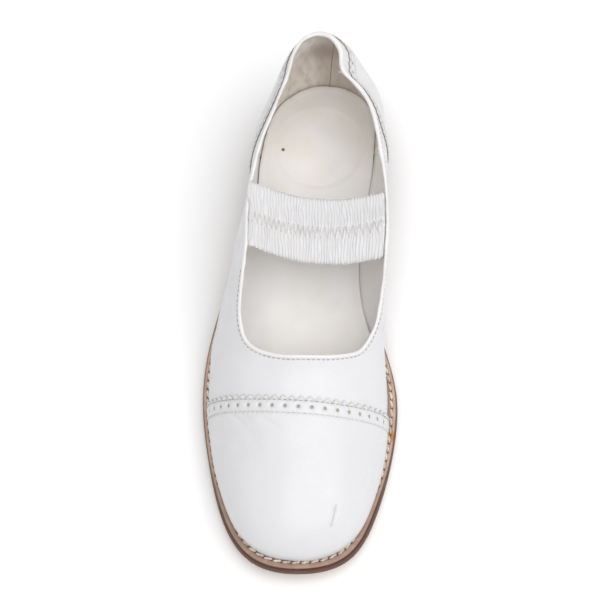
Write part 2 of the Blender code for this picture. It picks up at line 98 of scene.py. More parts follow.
# The last's ridge; behind the throat it lies over the opening and only guides the sections.
RIDGE: Array = np.array([
    # s, x, z
    (0.0, 2.2, 119.0), (32.0, 2.5, 113.0), (60.0, 1.9, 120.0), (100.0, 1.0, 118.0),
    (130.0, -0.2, 99.0), (150.0, -1.6, 72.5), (170.0, -3.3, 52.0), (190.0, -3.2, 47.5),
    (214.0, -2.8, 42.5)])

TOPLINE: Array = np.array([
    # s, lateral z, medial z
    (3.4, 89.8, 90.6), (20.0, 79.0, 84.1), (50.0, 76.4, 78.0), (85.0, 66.8, 67.6),
    (110.0, 65.0, 62.4), (140.0, 56.5, 48.2), (165.0, 47.0, 46.7)])

# Upper edge of the heel counter seen from the side, at the middle of the shoe's width; the edge
# rises towards the medial side.
COUNTER_TILT: float = 0.08
COUNTER_EDGE: Array = np.array([
    # s, z
    (-8.0, 85.8), (6.0, 84.3), (16.0, 79.0), (28.0, 76.4), (40.0, 74.0), (47.0, 71.0), (52.0, 66.0),
    (56.0, 56.0), (60.0, 44.0), (64.0, 32.0), (66.0, 18.0)])


# ---- Curves ---------------------------------------------------------------------------------
class Spline:
    """Smooth cubic through values at knots, open with natural ends or closed."""

    def __init__(self, knots: Array, values: Array, closed: bool = False) -> None:
        """Solves for the curve's second derivatives.

        Args:
            knots: Rising knot values, n of them.
            values: One value or one row of values for each knot.
            closed: Whether the curve joins its own start smoothly.
        """
        self.knots = np.asarray(knots, float)
        self.values = np.asarray(values, float)
        count = len(self.knots)
        step = np.diff(self.knots)
        slope = np.diff(self.values, axis=0) / step.reshape((-1,) + (1,) * (self.values.ndim - 1))
        matrix = np.zeros((count, count))
        right = np.zeros_like(self.values)
        for i in range(1, count - 1):
            matrix[i, i - 1:i + 2] = step[i - 1], 2.0 * (step[i - 1] + step[i]), step[i]
            right[i] = 6.0 * (slope[i] - slope[i - 1])
        matrix[0, 0] = 1.0
        matrix[-1, -1] = 1.0
        if closed:
            matrix[0, [0, 1, -2]] = 2.0 * (step[-1] + step[0]), step[0], step[-1]
            right[0] = 6.0 * (slope[0] - slope[-1])
            matrix[-1, 0] = -1.0
        self.bend = np.linalg.solve(matrix, right)

    def __call__(self, at: Array) -> Array:
        """Value of the curve.

        Args:
            at: Places on the knot axis; those past its ends take the end's value.

        Returns:
            One value or row of values for each place.
        """
        at = np.clip(np.asarray(at, float), self.knots[0], self.knots[-1])
        i = np.clip(np.searchsorted(self.knots, at, side="right") - 1, 0, len(self.knots) - 2)
        before = at - self.knots[i]
        after = self.knots[i + 1] - at
        h = before + after
        if self.values.ndim > 1:
            before, after, h = before[..., None], after[..., None], h[..., None]
        return ((self.bend[i] * after ** 3 + self.bend[i + 1] * before ** 3) / (6.0 * h)
                + (self.values[i] / h - self.bend[i] * h / 6.0) * after
                + (self.values[i + 1] / h - self.bend[i + 1] * h / 6.0) * before)


def table_curve(table: Array) -> Spline:
    """The curve through a table whose first column holds the knots."""
    return Spline(table[:, 0], table[:, 1:])


def cubic_weights(t: Array) -> Array:
    """Weights of a cubic's four poles at each t, one row each."""
    return np.stack([(1 - t) ** 3, 3 * (1 - t) ** 2 * t, 3 * (1 - t) * t * t, t ** 3], axis=1)


def lengths_along(points: Array) -> Array:
    """Distance of each point of a line from its first point, measured along the line."""
    return np.concatenate([[0.0], np.cumsum(np.linalg.norm(np.diff(points, axis=0), axis=1))])


def at_lengths(want: Array, along: Array, rows: Array) -> Array:
    """Rows of values carried over from the lengths that they stand at to other lengths."""
    return np.stack([np.interp(want, along, column) for column in rows.T], axis=1)


def resampled(points: Array, step: float) -> Array:
    """Points about a step apart along a line.

    Args:
        points: The line's points.
        step: The wanted distance between neighbours.

    Returns:
        Evenly spaced points from the line's start to its end.
    """
    along = lengths_along(points)
    count = max(int(round(along[-1] / step)), 1) + 1
    want = np.linspace(0.0, along[-1], count)
    return at_lengths(want, along, points)


def closed_curve(points: Array, count: int) -> Array:
    """Evenly spaced points of the smooth closed curve through the given ones.

    Args:
        points: Points in order, the first one not repeated.
        count: How many points to return.

    Returns:
        The curve's points, the first one not repeated.
    """
    ring = np.vstack([points, points[:1]])
    along = lengths_along(ring)
    return Spline(along, ring, closed=True)(along[-1] * np.arange(count) / count)


def unit(vectors: Array) -> Array:
    """The vectors of an array's last axis at length 1."""
    return vectors / np.linalg.norm(vectors, axis=-1, keepdims=True)


def bell(distance: Array, width: float) -> Array:
    """1 at no distance, falling off smoothly to 0 within about two widths."""
    return np.exp(-(distance / width) ** 2)


def outward(loop: Array) -> Array:
    """Unit normals of a closed loop in the plane.

    Args:
        loop: Its points in order, the first one not repeated.

    Returns:
        At each point, the direction out of the loop.
    """
    along = np.roll(loop, -1, axis=0) - np.roll(loop, 1, axis=0)
    normal = unit(np.stack([along[:, 1], -along[:, 0]], axis=1))
    return normal if np.sum(normal * (loop - loop.mean(axis=0))) > 0.0 else -normal


def smooth_step(value: Array) -> Array:
    """0 below 0, 1 above 1 and very smooth between."""
    value = np.clip(value, 0.0, 1.0)
    return value ** 3 * (value * (6.0 * value - 15.0) + 10.0)


def medial_share(x: Array) -> Array:
    """0 on the lateral side, 1 on the medial side, smooth across the centreline."""
    share = np.clip(0.5 + np.asarray(x, float) / 24.0, 0.0, 1.0)
    return share * share * (3.0 - 2.0 * share)


def ripples(points: Array, size: float, seed: int) -> Array:
    """Smooth uneven waves, the same on every run.

    Args:
        points: Places in millimetres, one row each.
        size: Typical length of a wave.
        seed: Chooses the waves.

    Returns:
        A value for each place, mostly between -1 and 1.
    """
    source = np.random.default_rng(seed)
    total = np.zeros(len(points))
    for _ in range(7):
        way = source.normal(size=points.shape[1])
        way *= 2.0 * math.pi / (size * source.uniform(0.7, 1.5) * np.linalg.norm(way))
        total += np.sin(points @ way + source.uniform(0.0, 2.0 * math.pi))
    return total / 2.6


# ---- The last -------------------------------------------------------------------------------
@dataclass(frozen=True)
class SoleLevels:
    """Heights of the layers of the shoe's bottom along its length."""

    length: float = 259.0
    heel_height: float = 17.5
    outsole: float = 4.2
    welt: float = 2.7
    gap: float = 0.3
    insole_rise: float = 2.5
    toe_spring: float = 9.0
    seat_front: float = 68.0
    tread_back: float = 158.0
    tread_front: float = 186.0
    spring_power: float = 1.9

    def underside(self, s: Array) -> Array:
        """Underside of the outsole: level seat, arched waist, flat tread and toe spring.

        Args:
            s: Places along the shoe.

        Returns:
            z at each place.
        """
        seat = smooth_step((self.tread_back - s) / (self.tread_back - self.seat_front))
        ahead = np.maximum(s - self.tread_front, 0.0) / (self.length - self.tread_front)
        return self.heel_height * seat + self.toe_spring * ahead ** self.spring_power

    def outsole_top(self, s: Array) -> Array:
        """Top of the outsole."""
        return self.underside(s) + self.outsole

    def welt_under(self, s: Array) -> Array:
        """Underside of the welt."""
        return self.outsole_top(s) + self.gap

    def welt_top(self, s: Array) -> Array:
        """Top of the welt."""
        return self.welt_under(s) + self.welt

    def feather(self, s: Array) -> Array:
        """Lower edge of the upper."""
        return self.welt_top(s) + self.gap

    def insole_top(self, s: Array) -> Array:
        """Top of the insole."""
        return self.feather(s) + self.insole_rise


@dataclass(frozen=True)
class Last:
    """The form that the shoe is built on, described by sections from the feather to the ridge.

    Round the shoe runs "v": 0 at the back of the heel, positive along the medial side and
    negative along the lateral side, half_round at the tip of the toe.  Up a section runs "t",
    0 at the feather and 1 at the ridge.
    """

    levels: SoleLevels = SoleLevels()
    heel_centre: float = 32.0
    toe_centre: float = 214.0
    heel_turn: float = 45.0
    toe_turn: float = 55.0
    throat_front: float = 165.0
    throat_corner: float = 26.5
    throat_squareness: float = 2.35
    throat_lateral: float = 34.4
    throat_medial: float = 40.2
    lean_side: float = 0.45
    lean_toe: float = 1.5
    lean_from: float = 195.0
    lean_over: float = 40.0
    feather: Array = field(default_factory=lambda: closed_curve(FEATHER, 2880))
    ridge: Spline = table_curve(RIDGE)
    lateral: Spline = table_curve(LATERAL_WALL)
    medial: Spline = table_curve(MEDIAL_WALL)
    top: Spline = table_curve(TOPLINE)
    margin: Spline = table_curve(SOLE_MARGIN)

    @property
    def side_end(self) -> float:
        """v where the straight sections of a side end and the toe begins."""
        return self.heel_turn + self.toe_centre - self.heel_centre

    @property
    def half_round(self) -> float:
        """v at the tip of the toe, half the way round the shoe."""
        return self.side_end + self.toe_turn

    def side_v(self, s: Array, medial: bool) -> Array:
        """v of the straight section at s on one side."""
        return (s - self.heel_centre + self.heel_turn) * (1.0 if medial else -1.0)

    def foot_on_side(self, s: Array, medial: bool) -> Array:
        """x of the feather on one side.

        Args:
            s: Places along the shoe.
            medial: Whether the medial side is meant.

        Returns:
            x at each place.
        """
        front = int(np.argmax(self.feather[:, 0]))
        side = self.feather[front:] if medial else self.feather[:front + 1]
        side = side[np.argsort(side[:, 0])]
        return np.interp(s, side[:, 0], side[:, 1])

    def foot_in_fan(self, centre: Array, heading: Array) -> Array:
        """The feather seen from a centre on the ridge.

        Args:
            centre: (s, x) of the centre.
            heading: Angles, 0 towards the toe and a quarter turn towards the medial side.

        Returns:
            (s, x) of the feather's point in each direction.
        """
        reach = self.feather - centre
        angle = np.arctan2(reach[:, 1], reach[:, 0])
        order = np.argsort(angle)
        radius = np.interp(heading, angle[order], np.hypot(*reach.T)[order], period=2.0 * np.pi)
        return centre + radius[:, None] * np.stack([np.cos(heading), np.sin(heading)], axis=1)

    def stations(self, v: Array) -> tuple[Array, Array]:
        """Where the sections stand.

        Args:
            v: Places round the shoe.

        Returns:
            s of each section's centre on the ridge, and (s, x) of its foot on the feather.
        """
        way = np.abs(v)
        sign = np.where(v >= 0.0, 1.0, -1.0)
        centre_s = np.clip(way - self.heel_turn, 0.0, self.side_end - self.heel_turn)
        centre_s = centre_s + self.heel_centre
        foot = np.stack([centre_s, np.zeros_like(centre_s)], axis=1)
        for medial in (True, False):
            mine = (sign > 0.0) == medial
            foot[mine, 1] = self.foot_on_side(centre_s[mine], medial)
        quarter = math.pi / 2.0
        for fan, start, heading in (
                (way < self.heel_turn, self.heel_centre,
                 sign * (2.0 - way / self.heel_turn) * quarter),
                (way > self.side_end, self.toe_centre,
                 sign * (1.0 - (way - self.side_end) / self.toe_turn) * quarter)):
            if fan.any():
                centre = np.array([start, self.ridge(start)[0]])
                foot[fan] = self.foot_in_fan(centre, heading[fan])
        return centre_s, foot

    def sections(self, v: Array) -> tuple[Array, Array, Array]:
        """The wall's sections.

        Args:
            v: Places round the shoe.

        Returns:
            (s, x) of the centres, unit directions from centre to foot, and for each section the
            four poles of its curve as (distance from the centre, height).
        """
        centre_s, foot = self.stations(v)
        ridge = self.ridge(centre_s)
        centre = np.stack([centre_s, ridge[:, 0]], axis=1)
        reach = foot - centre
        length = np.hypot(*reach.T)
        direction = reach / length[:, None]
        share = medial_share(reach[:, 1])[:, None]
        wall = (1.0 - share) * self.lateral(foot[:, 0]) + share * self.medial(foot[:, 0])
        swell, rise, shoulder, drop = wall.T
        low = self.levels.feather(foot[:, 0])
        fall = self.ridge(self.toe_centre)[1] - self.ridge(self.toe_centre - 1.0)[1]
        slope = np.where(centre_s >= self.toe_centre, fall * direction[:, 0], 0.0)
        inner = shoulder * length
        poles = np.stack([
            np.stack([length, low], axis=1), np.stack([length + swell, low + rise], axis=1),
            np.stack([inner, ridge[:, 1] - drop + slope * inner], axis=1),
            np.stack([np.zeros_like(length), ridge[:, 1]], axis=1)], axis=1)
        return centre, direction, poles

    def on_toe(self, v: Array, from_ridge: Array) -> Array:
        """Places on the toe's map.

        Args:
            v: Places round the shoe.
            from_ridge: Lengths down the wall from the ridge.

        Returns:
            How far each place lies ahead of the toe's centre and how far to the medial side.
        """
        beyond = np.abs(v) - self.side_end
        heading = (1.0 - np.clip(beyond / self.toe_turn, 0.0, 1.0)) * math.pi / 2.0
        ahead = np.minimum(beyond, 0.0) + from_ridge * np.cos(heading)
        return np.stack([ahead, from_ridge * (np.sin(heading) * np.sign(v + 1e-9))], axis=-1)

    def sole_edge(self, inset: float, count: int) -> Array:
        """(s, x) round the sole's edge.

        Args:
            inset: How far it is drawn in.
            count: How many points.

        Returns:
            The edge's points.
        """
        skip = len(self.feather) // count
        loop = self.feather[::skip]
        normal = outward(self.feather)[::skip]
        share = medial_share(loop[:, 1])
        lateral, medial = self.margin(loop[:, 0]).T
        return loop + normal * ((1.0 - share) * lateral + share * medial - inset)[:, None]

    def lean(self, s: Array) -> Array:
        """Distance of the welt's upper edge inside the outsole's lower one, widest at the toe."""
        at_toe = smooth_step((s - self.lean_from) / self.lean_over)
        return self.lean_side + (self.lean_toe - self.lean_side) * at_toe

    def sole_wall(self, inset: float, share: float, count: int) -> Array:
        """(s, x) round the sole's leaning side wall at a share of its height."""
        s = self.feather[::len(self.feather) // count, 0]
        return self.sole_edge(inset + share * self.lean(s), count)

    def inside_feather(self, inset: float, count: int) -> Array:
        """(s, x) of the feather drawn in by an inset."""
        skip = len(self.feather) // count
        return self.feather[::skip] - outward(self.feather)[::skip] * inset


LAST = Last()


@dataclass(frozen=True)
class Placement:
    """Where the shoe's own millimetres lie in the frame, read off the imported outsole's box."""

    middle_s: float
    middle_x: float

    @classmethod
    def from_outsole(cls) -> "Placement":
        """Lines the sole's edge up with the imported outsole."""
        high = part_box("outsole")[1]
        edge = LAST.sole_edge(0.0, 720)
        return cls(high.y / MM + edge[:, 0].min(), edge[:, 1].max() - high.x / MM)

    def to_frame(self, points: Array) -> Array:
        """Places in the frame.

        Args:
            points: (s, x, z) in millimetres.

        Returns:
            The frame's (X, Y, Z) in metres.
        """
        points = np.asarray(points, float)
        return np.stack([(points[:, 1] - self.middle_x) * MM,
                         (self.middle_s - points[:, 0]) * MM, points[:, 2] * MM], axis=1)

    def location(self, s: float, x: float, z: float) -> tuple[float, float, float]:
        """One place in the frame, in metres."""
        return tuple(float(value) for value in self.to_frame(np.array([[s, x, z]]))[0])


PLACE = Placement.from_outsole()


# ---- The skin: the upper's outer surface ----------------------------------------------------
class Chart(Enum):
    """The two flat maps of the skin."""

    WALL = "v round the shoe, height along the wall above the feather"
    TOE = "s ahead of the toe's centre, distance from the ridge, medial positive"


@dataclass(frozen=True)
class Crease:
    """A soft trough or fold in the leather along a line on a chart."""

    chart: Chart
    line: tuple[tuple[float, float], ...]
    width: float
    height: float


CREASES: tuple[Crease, ...] = (
    # The collar is pushed in at the back of the medial side.
    Crease(Chart.WALL, ((36.0, 72.0), (37.0, 54.0), (38.5, 36.0)), 10.0, -1.3),
    Crease(Chart.WALL, ((20.0, 72.0), (20.5, 54.0), (21.0, 38.0)), 6.0, 0.7),
    # Flexing folds that spread over the cap from its lateral end.
    Crease(Chart.TOE, ((-26.0, -58.0), (-20.0, -46.0), (-17.0, -34.0)), 1.9, -0.60),
    Crease(Chart.TOE, ((-22.0, -59.0), (-14.5, -46.0), (-10.0, -33.0)), 1.9, 0.45),
    Crease(Chart.TOE, ((-24.0, -34.0), (-18.0, -27.0), (-9.0, -21.0)), 2.4, -0.32),
    Crease(Chart.TOE, ((-18.0, -52.0), (-8.0, -41.0), (-4.0, -28.0)), 2.6, -0.28),
    # Fine wrinkles just ahead of the cap's stitching there.
    Crease(Chart.TOE, ((-25.5, -52.0), (-23.6, -47.3), (-21.5, -43.0)), 1.2, -0.75),
    Crease(Chart.TOE, ((-26.0, -37.4), (-23.4, -32.6), (-20.5, -28.4)), 1.2, -0.70),
    Crease(Chart.TOE, ((-24.5, -30.6), (-22.9, -27.0), (-21.0, -23.6)), 1.1, -0.60),
    Crease(Chart.TOE, ((-22.0, -19.8), (-19.2, -14.4), (-16.0, -9.2)), 1.2, -0.45),
    # Fine upright folds at the medial side of the cap.
    Crease(Chart.TOE, ((-12.0, 35.0), (0.0, 35.5), (10.0, 33.5)), 1.3, -0.22),
    Crease(Chart.TOE, ((-15.0, 38.0), (0.0, 38.5), (14.0, 35.5)), 1.1, 0.18),
    Crease(Chart.TOE, ((-6.0, 41.5), (6.0, 40.0), (18.0, 36.0)), 1.4, -0.20),
    # A knock on the toe.
    Crease(Chart.TOE, ((18.0, 17.0), (24.0, 16.2), (28.5, 15.2)), 1.0, -0.50),
    Crease(Chart.TOE, ((19.0, 13.6), (25.0, 12.8), (29.0, 12.2)), 1.9, 0.22),
    # Walking folds where the vamp bends, on both sides of the throat.
    Crease(Chart.WALL, ((-176.0, 12.0), (-168.0, 26.0), (-170.0, 40.0)), 4.0, -0.50),
    Crease(Chart.WALL, ((-166.0, 8.0), (-158.0, 22.0), (-160.0, 36.0)), 4.0, 0.45),
    Crease(Chart.WALL, ((-154.0, 8.0), (-149.0, 20.0), (-152.0, 33.0)), 3.6, -0.40),
    Crease(Chart.WALL, ((176.0, 12.0), (169.0, 24.0), (172.0, 38.0)), 4.0, -0.45),
    Crease(Chart.WALL, ((162.0, 8.0), (156.0, 20.0), (158.0, 32.0)), 3.6, 0.40),
    Crease(Chart.WALL, ((150.0, 8.0), (146.0, 18.0), (149.0, 30.0)), 3.2, -0.40),
    # Folds of the quarters under the strap, where the elastic pulls.
    Crease(Chart.WALL, ((92.0, 8.0), (95.0, 22.0), (93.0, 38.0)), 4.5, -0.60),
    Crease(Chart.WALL, ((104.0, 6.0), (106.0, 20.0), (105.0, 36.0)), 4.0, 0.45),
    Crease(Chart.WALL, ((116.0, 8.0), (118.0, 22.0), (115.0, 36.0)), 4.0, -0.50),
    Crease(Chart.WALL, ((-96.0, 8.0), (-99.0, 22.0), (-96.0, 40.0)), 5.0, -0.50),
    Crease(Chart.WALL, ((-112.0, 6.0), (-115.0, 22.0), (-112.0, 42.0)), 5.0, 0.45),
    Crease(Chart.WALL, ((-128.0, 8.0), (-131.0, 22.0), (-127.0, 40.0)), 4.5, -0.45),
)


class Skin:
    """The upper's outer surface as a dense net over the last, with its creases pressed in."""

    STEP: ClassVar[float] = 0.5             # between its columns, in v
    ROWS: ClassVar[int] = 161
    EASE: ClassVar[float] = 5.0             # the joints between straight and fanned sections
    UNEVEN: ClassVar[float] = 0.16          # height of the leather's slow waves
    WAVE: ClassVar[float] = 26.0            # and their length
    WAVE_SEED: ClassVar[int] = 3
    INSIDE: ClassVar[tuple[float, float, float]] = (130.0, -4.0, 20.0)  # a place in the foot's room
    CROWN: ClassVar[float] = 0.93           # the toe's normals merge into one above this t,
    CROWN_OVER: ClassVar[float] = 0.05      # over this much of it

    def __init__(self, last: Last) -> None:
        """Builds the net.

        Args:
            last: The form under the leather.
        """
        self.last = last
        half = last.half_round
        self.count = int(round(2.0 * half / self.STEP))
        self.v = -half + 2.0 * half * np.arange(self.count) / self.count
        self.mirrored = (self.count - np.arange(self.count)) % self.count
        weights = cubic_weights(np.linspace(0.0, 1.0, self.ROWS))
        centre, direction, poles = last.sections(self.v)
        flat = np.einsum("rp,npk->nrk", weights, poles)
        net = np.empty((self.count, self.ROWS, 3))
        net[:, :, :2] = centre[:, None] + direction[:, None] * flat[:, :, :1]
        net[:, :, 2] = flat[:, :, 1]
        self.net = self._eased(net)
        self._measure()
        self._press()
        self._measure()
        self.tops = self._topline()

    def _eased(self, net: Array) -> Array:
        """The net smoothed round the shoe, its broad shape kept.

        Args:
            net: (s, x, z) at each node.

        Returns:
            The smoothed net.
        """
        reach = np.minimum(np.arange(self.count), self.count - np.arange(self.count))
        weights = np.exp(-0.5 * (reach * self.STEP / self.EASE) ** 2)
        spectrum = np.fft.rfft(weights / weights.sum())[:, None, None]
        kept = 2.0 * spectrum - spectrum ** 2
        return np.fft.irfft(np.fft.rfft(net, axis=0) * kept, n=self.count, axis=0)

    def _measure(self) -> None:
        """Works out the net's normals and the length along each section."""
        round_it = np.roll(self.net, -1, axis=0) - np.roll(self.net, 1, axis=0)
        up_it = np.gradient(self.net, axis=1)
        normal = np.cross(round_it, up_it)
        size = np.linalg.norm(normal, axis=2, keepdims=True)
        normal = normal / np.maximum(size, 1e-9)
        if np.sum(normal[:, 20] * (self.net[:, 20] - self.INSIDE)) < 0.0:
            normal = -normal
        pinched = np.abs(self.v) > self.last.side_end
        fall = np.gradient(self.last.ridge(np.array([212.0, 213.0]))[:, 1])[0]
        top = np.array([-fall, 0.0, 1.0]) / math.hypot(fall, 1.0)
        crown = (np.linspace(0.0, 1.0, self.ROWS) - self.CROWN) / self.CROWN_OVER
        blend = np.clip(crown, 0.0, 1.0)[None, :, None]
        eased = normal * (1.0 - blend) + top * blend
        normal[pinched] = eased[pinched]
        normal[:, -1] = normal[:, -1] + normal[self.mirrored, -1]
        self.normals = unit(normal)
        rise = np.linalg.norm(np.diff(self.net, axis=1), axis=2)
        self.girth = np.concatenate([np.zeros((self.count, 1)), np.cumsum(rise, axis=1)], axis=1)

    def _press(self) -> None:
        """Presses the creases and the leather's slow waves into the net."""
        waves = ripples(self.net.reshape(-1, 3), self.WAVE, self.WAVE_SEED)
        lift = self.UNEVEN * waves.reshape(self.net.shape[:2])
        wall = np.stack([np.repeat(self.v[:, None], self.ROWS, axis=1), self.girth], axis=2)
        toe = self.last.on_toe(self.v[:, None], self.girth[:, -1:] - self.girth)
        for crease in CREASES:
            chart = wall if crease.chart is Chart.WALL else toe
            knots = np.array(crease.line)
            along = lengths_along(knots)
            path = Spline(along, knots)(np.linspace(0.0, along[-1], 31))
            near = np.all((chart > path.min(axis=0) - 3.0 * crease.width)
                          & (chart < path.max(axis=0) + 3.0 * crease.width), axis=2)
            gap = np.linalg.norm(chart[near][:, None] - path[None], axis=2)
            fade = np.sin(math.pi * (gap.argmin(axis=1) + 1.0) / 32.0) ** 0.6
            lift[near] += crease.height * fade * bell(gap.min(axis=1), crease.width)
        lift[:, -1] = (lift[:, -1] + lift[self.mirrored, -1]) / 2.0
        self.net = self.net + self.normals * lift[:, :, None]

    def _cells(self, v: Array) -> tuple[Array, Array, Array]:
        """Finds the net's columns on both sides of each place.

        Args:
            v: Places round the shoe.

        Returns:
            The first columns, the second ones and the share of the second ones.
        """
        place = (v + self.last.half_round) / self.STEP
        low = np.floor(place).astype(int)
        return low % self.count, (low + 1) % self.count, place - low

    def look_up(self, table: Array, v: Array, t: Array) -> Array:
        """Values of a table on the net between its nodes.

        Args:
            table: One value or row of values for each node of the net.
            v: Places round the shoe.
            t: Places up the wall.

        Returns:
            The table's values at the places.
        """
        left, right, share = self._cells(v)
        row = np.clip(t, 0.0, 1.0) * (self.ROWS - 1)
        low = np.clip(np.floor(row).astype(int), 0, self.ROWS - 2)
        up = row - low
        if table.ndim > 2:
            share, up = share[:, None], up[:, None]
        return ((1 - share) * ((1 - up) * table[left, low] + up * table[left, low + 1])
                + share * ((1 - up) * table[right, low] + up * table[right, low + 1]))

    def at(self, v: Array, t: Array, lift: float | Array) -> Array:
        """Places on or above the skin.

        Args:
            v: Places round the shoe.
            t: Places up the wall.
            lift: Height above the skin, one for all or one for each.

        Returns:
            (s, x, z) of each place.
        """
        lift = np.broadcast_to(np.asarray(lift, float), np.shape(v))
        normal = self.look_up(self.normals, v, t)
        return self.look_up(self.net, v, t) + normal * lift[:, None]

    def t_at_girth(self, v: Array, girth: Array) -> Array:
        """t where the length up the wall reaches a value.

        Args:
            v: Places round the shoe.
            girth: Lengths up the wall from the feather.

        Returns:
            One t for each place.
        """
        left, right, share = self._cells(v)
        column = self.girth[left] * (1.0 - share[:, None]) + self.girth[right] * share[:, None]
        low = np.clip((column <= girth[:, None]).sum(axis=1) - 1, 0, self.ROWS - 2)
        pick = np.arange(len(v))
        step = column[pick, low + 1] - column[pick, low]
        return np.clip((low + (girth - column[pick, low]) / step) / (self.ROWS - 1), 0.0, 1.0)

    def full_girth(self, v: Array) -> Array:
        """Length of the wall from the feather to the ridge."""
        return self.look_up(self.girth, v, np.ones_like(v))

    def _topline_t(self, v: Array) -> Array:
        """t of the topline.

        Args:
            v: Places round the shoe.

        Returns:
            One t for each section, 1 in front of the throat.
        """
        last = self.last
        centre_s, foot = last.stations(v)
        share = medial_share(foot[:, 1] - last.ridge(centre_s)[:, 0])
        lateral, medial = last.top(foot[:, 0]).T
        height = (1.0 - share) * lateral + share * medial
        half = (1.0 - share) * last.throat_lateral + share * last.throat_medial
        ahead = np.clip((last.throat_front - centre_s) / last.throat_corner, 0.0, 1.0)
        power = last.throat_squareness
        width = half * (1.0 - (1.0 - ahead) ** power) ** (1.0 / power)
        _, _, poles = last.sections(v)
        t = np.linspace(0.0, 1.0, 241)
        tops = np.empty(len(v))
        soft = 0.02
        for i, flat in enumerate(np.einsum("rp,npk->nrk", cubic_weights(t), poles)):
            widest = int(np.argmax(flat[:, 0]))
            by_height = np.interp(height[i], flat[:, 1], t)
            by_width = np.interp(-width[i], -flat[widest:, 0], t[widest:])
            tops[i] = min(soft * float(np.logaddexp(by_height / soft, by_width / soft)), 1.0)
        return np.where(centre_s >= last.throat_front, 1.0, tops)

    def _topline(self) -> Array:
        """(v, t) of the topline from the ridge, back along the medial side and round the heel."""
        last = self.last
        power = last.throat_squareness
        width = np.linspace(0.0, 1.0, 160)
        corner = last.throat_front - last.throat_corner * (1.0 - (1.0 - width ** power) ** (1.0 / power))
        side = np.concatenate([corner, np.arange(corner[-1] - 1.0, last.heel_centre, -1.0)])
        half = np.concatenate([last.side_v(side, True), np.arange(last.heel_turn, 0.0, -1.0)])
        v = np.concatenate([half, [0.0], -half[::-1]])
        t = self._topline_t(v)
        path = np.column_stack([self.at(v, t, 0.0), v, t])
        along = lengths_along(path[:, :3])
        want = np.linspace(0.0, along[-1], int(along[-1] / 0.5))
        return at_lengths(want, along, path[:, 3:])


SKIN = Skin(LAST)


class FlatChart:
    """A flat map of the skin, on which pieces of leather are cut."""

    PROBE: ClassVar[float] = 0.25       # step over which the map's stretch is measured

    def __init__(self, kind: Chart, skin: Skin) -> None:
        """Remembers the map's kind and its skin."""
        self.kind = kind
        self.skin = skin

    def to_skin(self, places: Array) -> tuple[Array, Array]:
        """Finds places of the map on the skin.

        Args:
            places: Places on the map.

        Returns:
            v and t of each.
        """
        skin = self.skin
        if self.kind is Chart.WALL:
            return places[:, 0], skin.t_at_girth(places[:, 0], places[:, 1])
        ahead, across = places.T
        last = skin.last
        sign = np.where(across >= 0.0, 1.0, -1.0)
        heading = np.abs(np.arctan2(across, np.maximum(ahead, 1e-9)))
        fan = last.side_end + last.toe_turn * (1.0 - heading / (math.pi / 2.0))
        v = np.where(ahead > 0.0, fan, last.side_end + ahead) * sign
        distance = np.where(ahead > 0.0, np.hypot(ahead, across), np.abs(across))
        return v, skin.t_at_girth(v, np.maximum(skin.full_girth(v) - distance, 0.0))

    def bend(self, places: Array, lift: float | Array) -> Array:
        """(s, x, z) of places on the map, at a lift above the skin."""
        v, t = self.to_skin(places)
        return self.skin.at(v, t, lift)

    def facing(self, places: Array) -> Array:
        """Unit normals of the skin at places on the map."""
        v, t = self.to_skin(places)
        return unit(self.skin.look_up(self.skin.normals, v, t))

    def frames(self, places: Array, along: Array) -> tuple[Array, Array]:
        """Steps on the map that measure one true millimetre.

        Args:
            places: Places on the map.
            along: A direction on the map at each place.

        Returns:
            The steps along that direction and the steps square to it, to its left.
        """
        sides = [(self.bend(places + axis, 0.0) - self.bend(places - axis, 0.0)) / (2 * self.PROBE)
                 for axis in self.PROBE * np.eye(2)]
        jacobian = np.stack(sides, axis=2)
        forward = np.einsum("nij,nj->ni", jacobian, along)
        scale = np.linalg.norm(forward, axis=1, keepdims=True)
        left = np.cross(self.facing(places), forward / scale)
        metric = np.einsum("nki,nkj->nij", jacobian, jacobian) + np.eye(2) * 1e-6
        wanted = np.einsum("nki,nk->ni", jacobian, left)
        return along / scale, np.linalg.solve(metric, wanted[:, :, None])[:, :, 0]


WALL_CHART = FlatChart(Chart.WALL, SKIN)
TOE_CHART = FlatChart(Chart.TOE, SKIN)


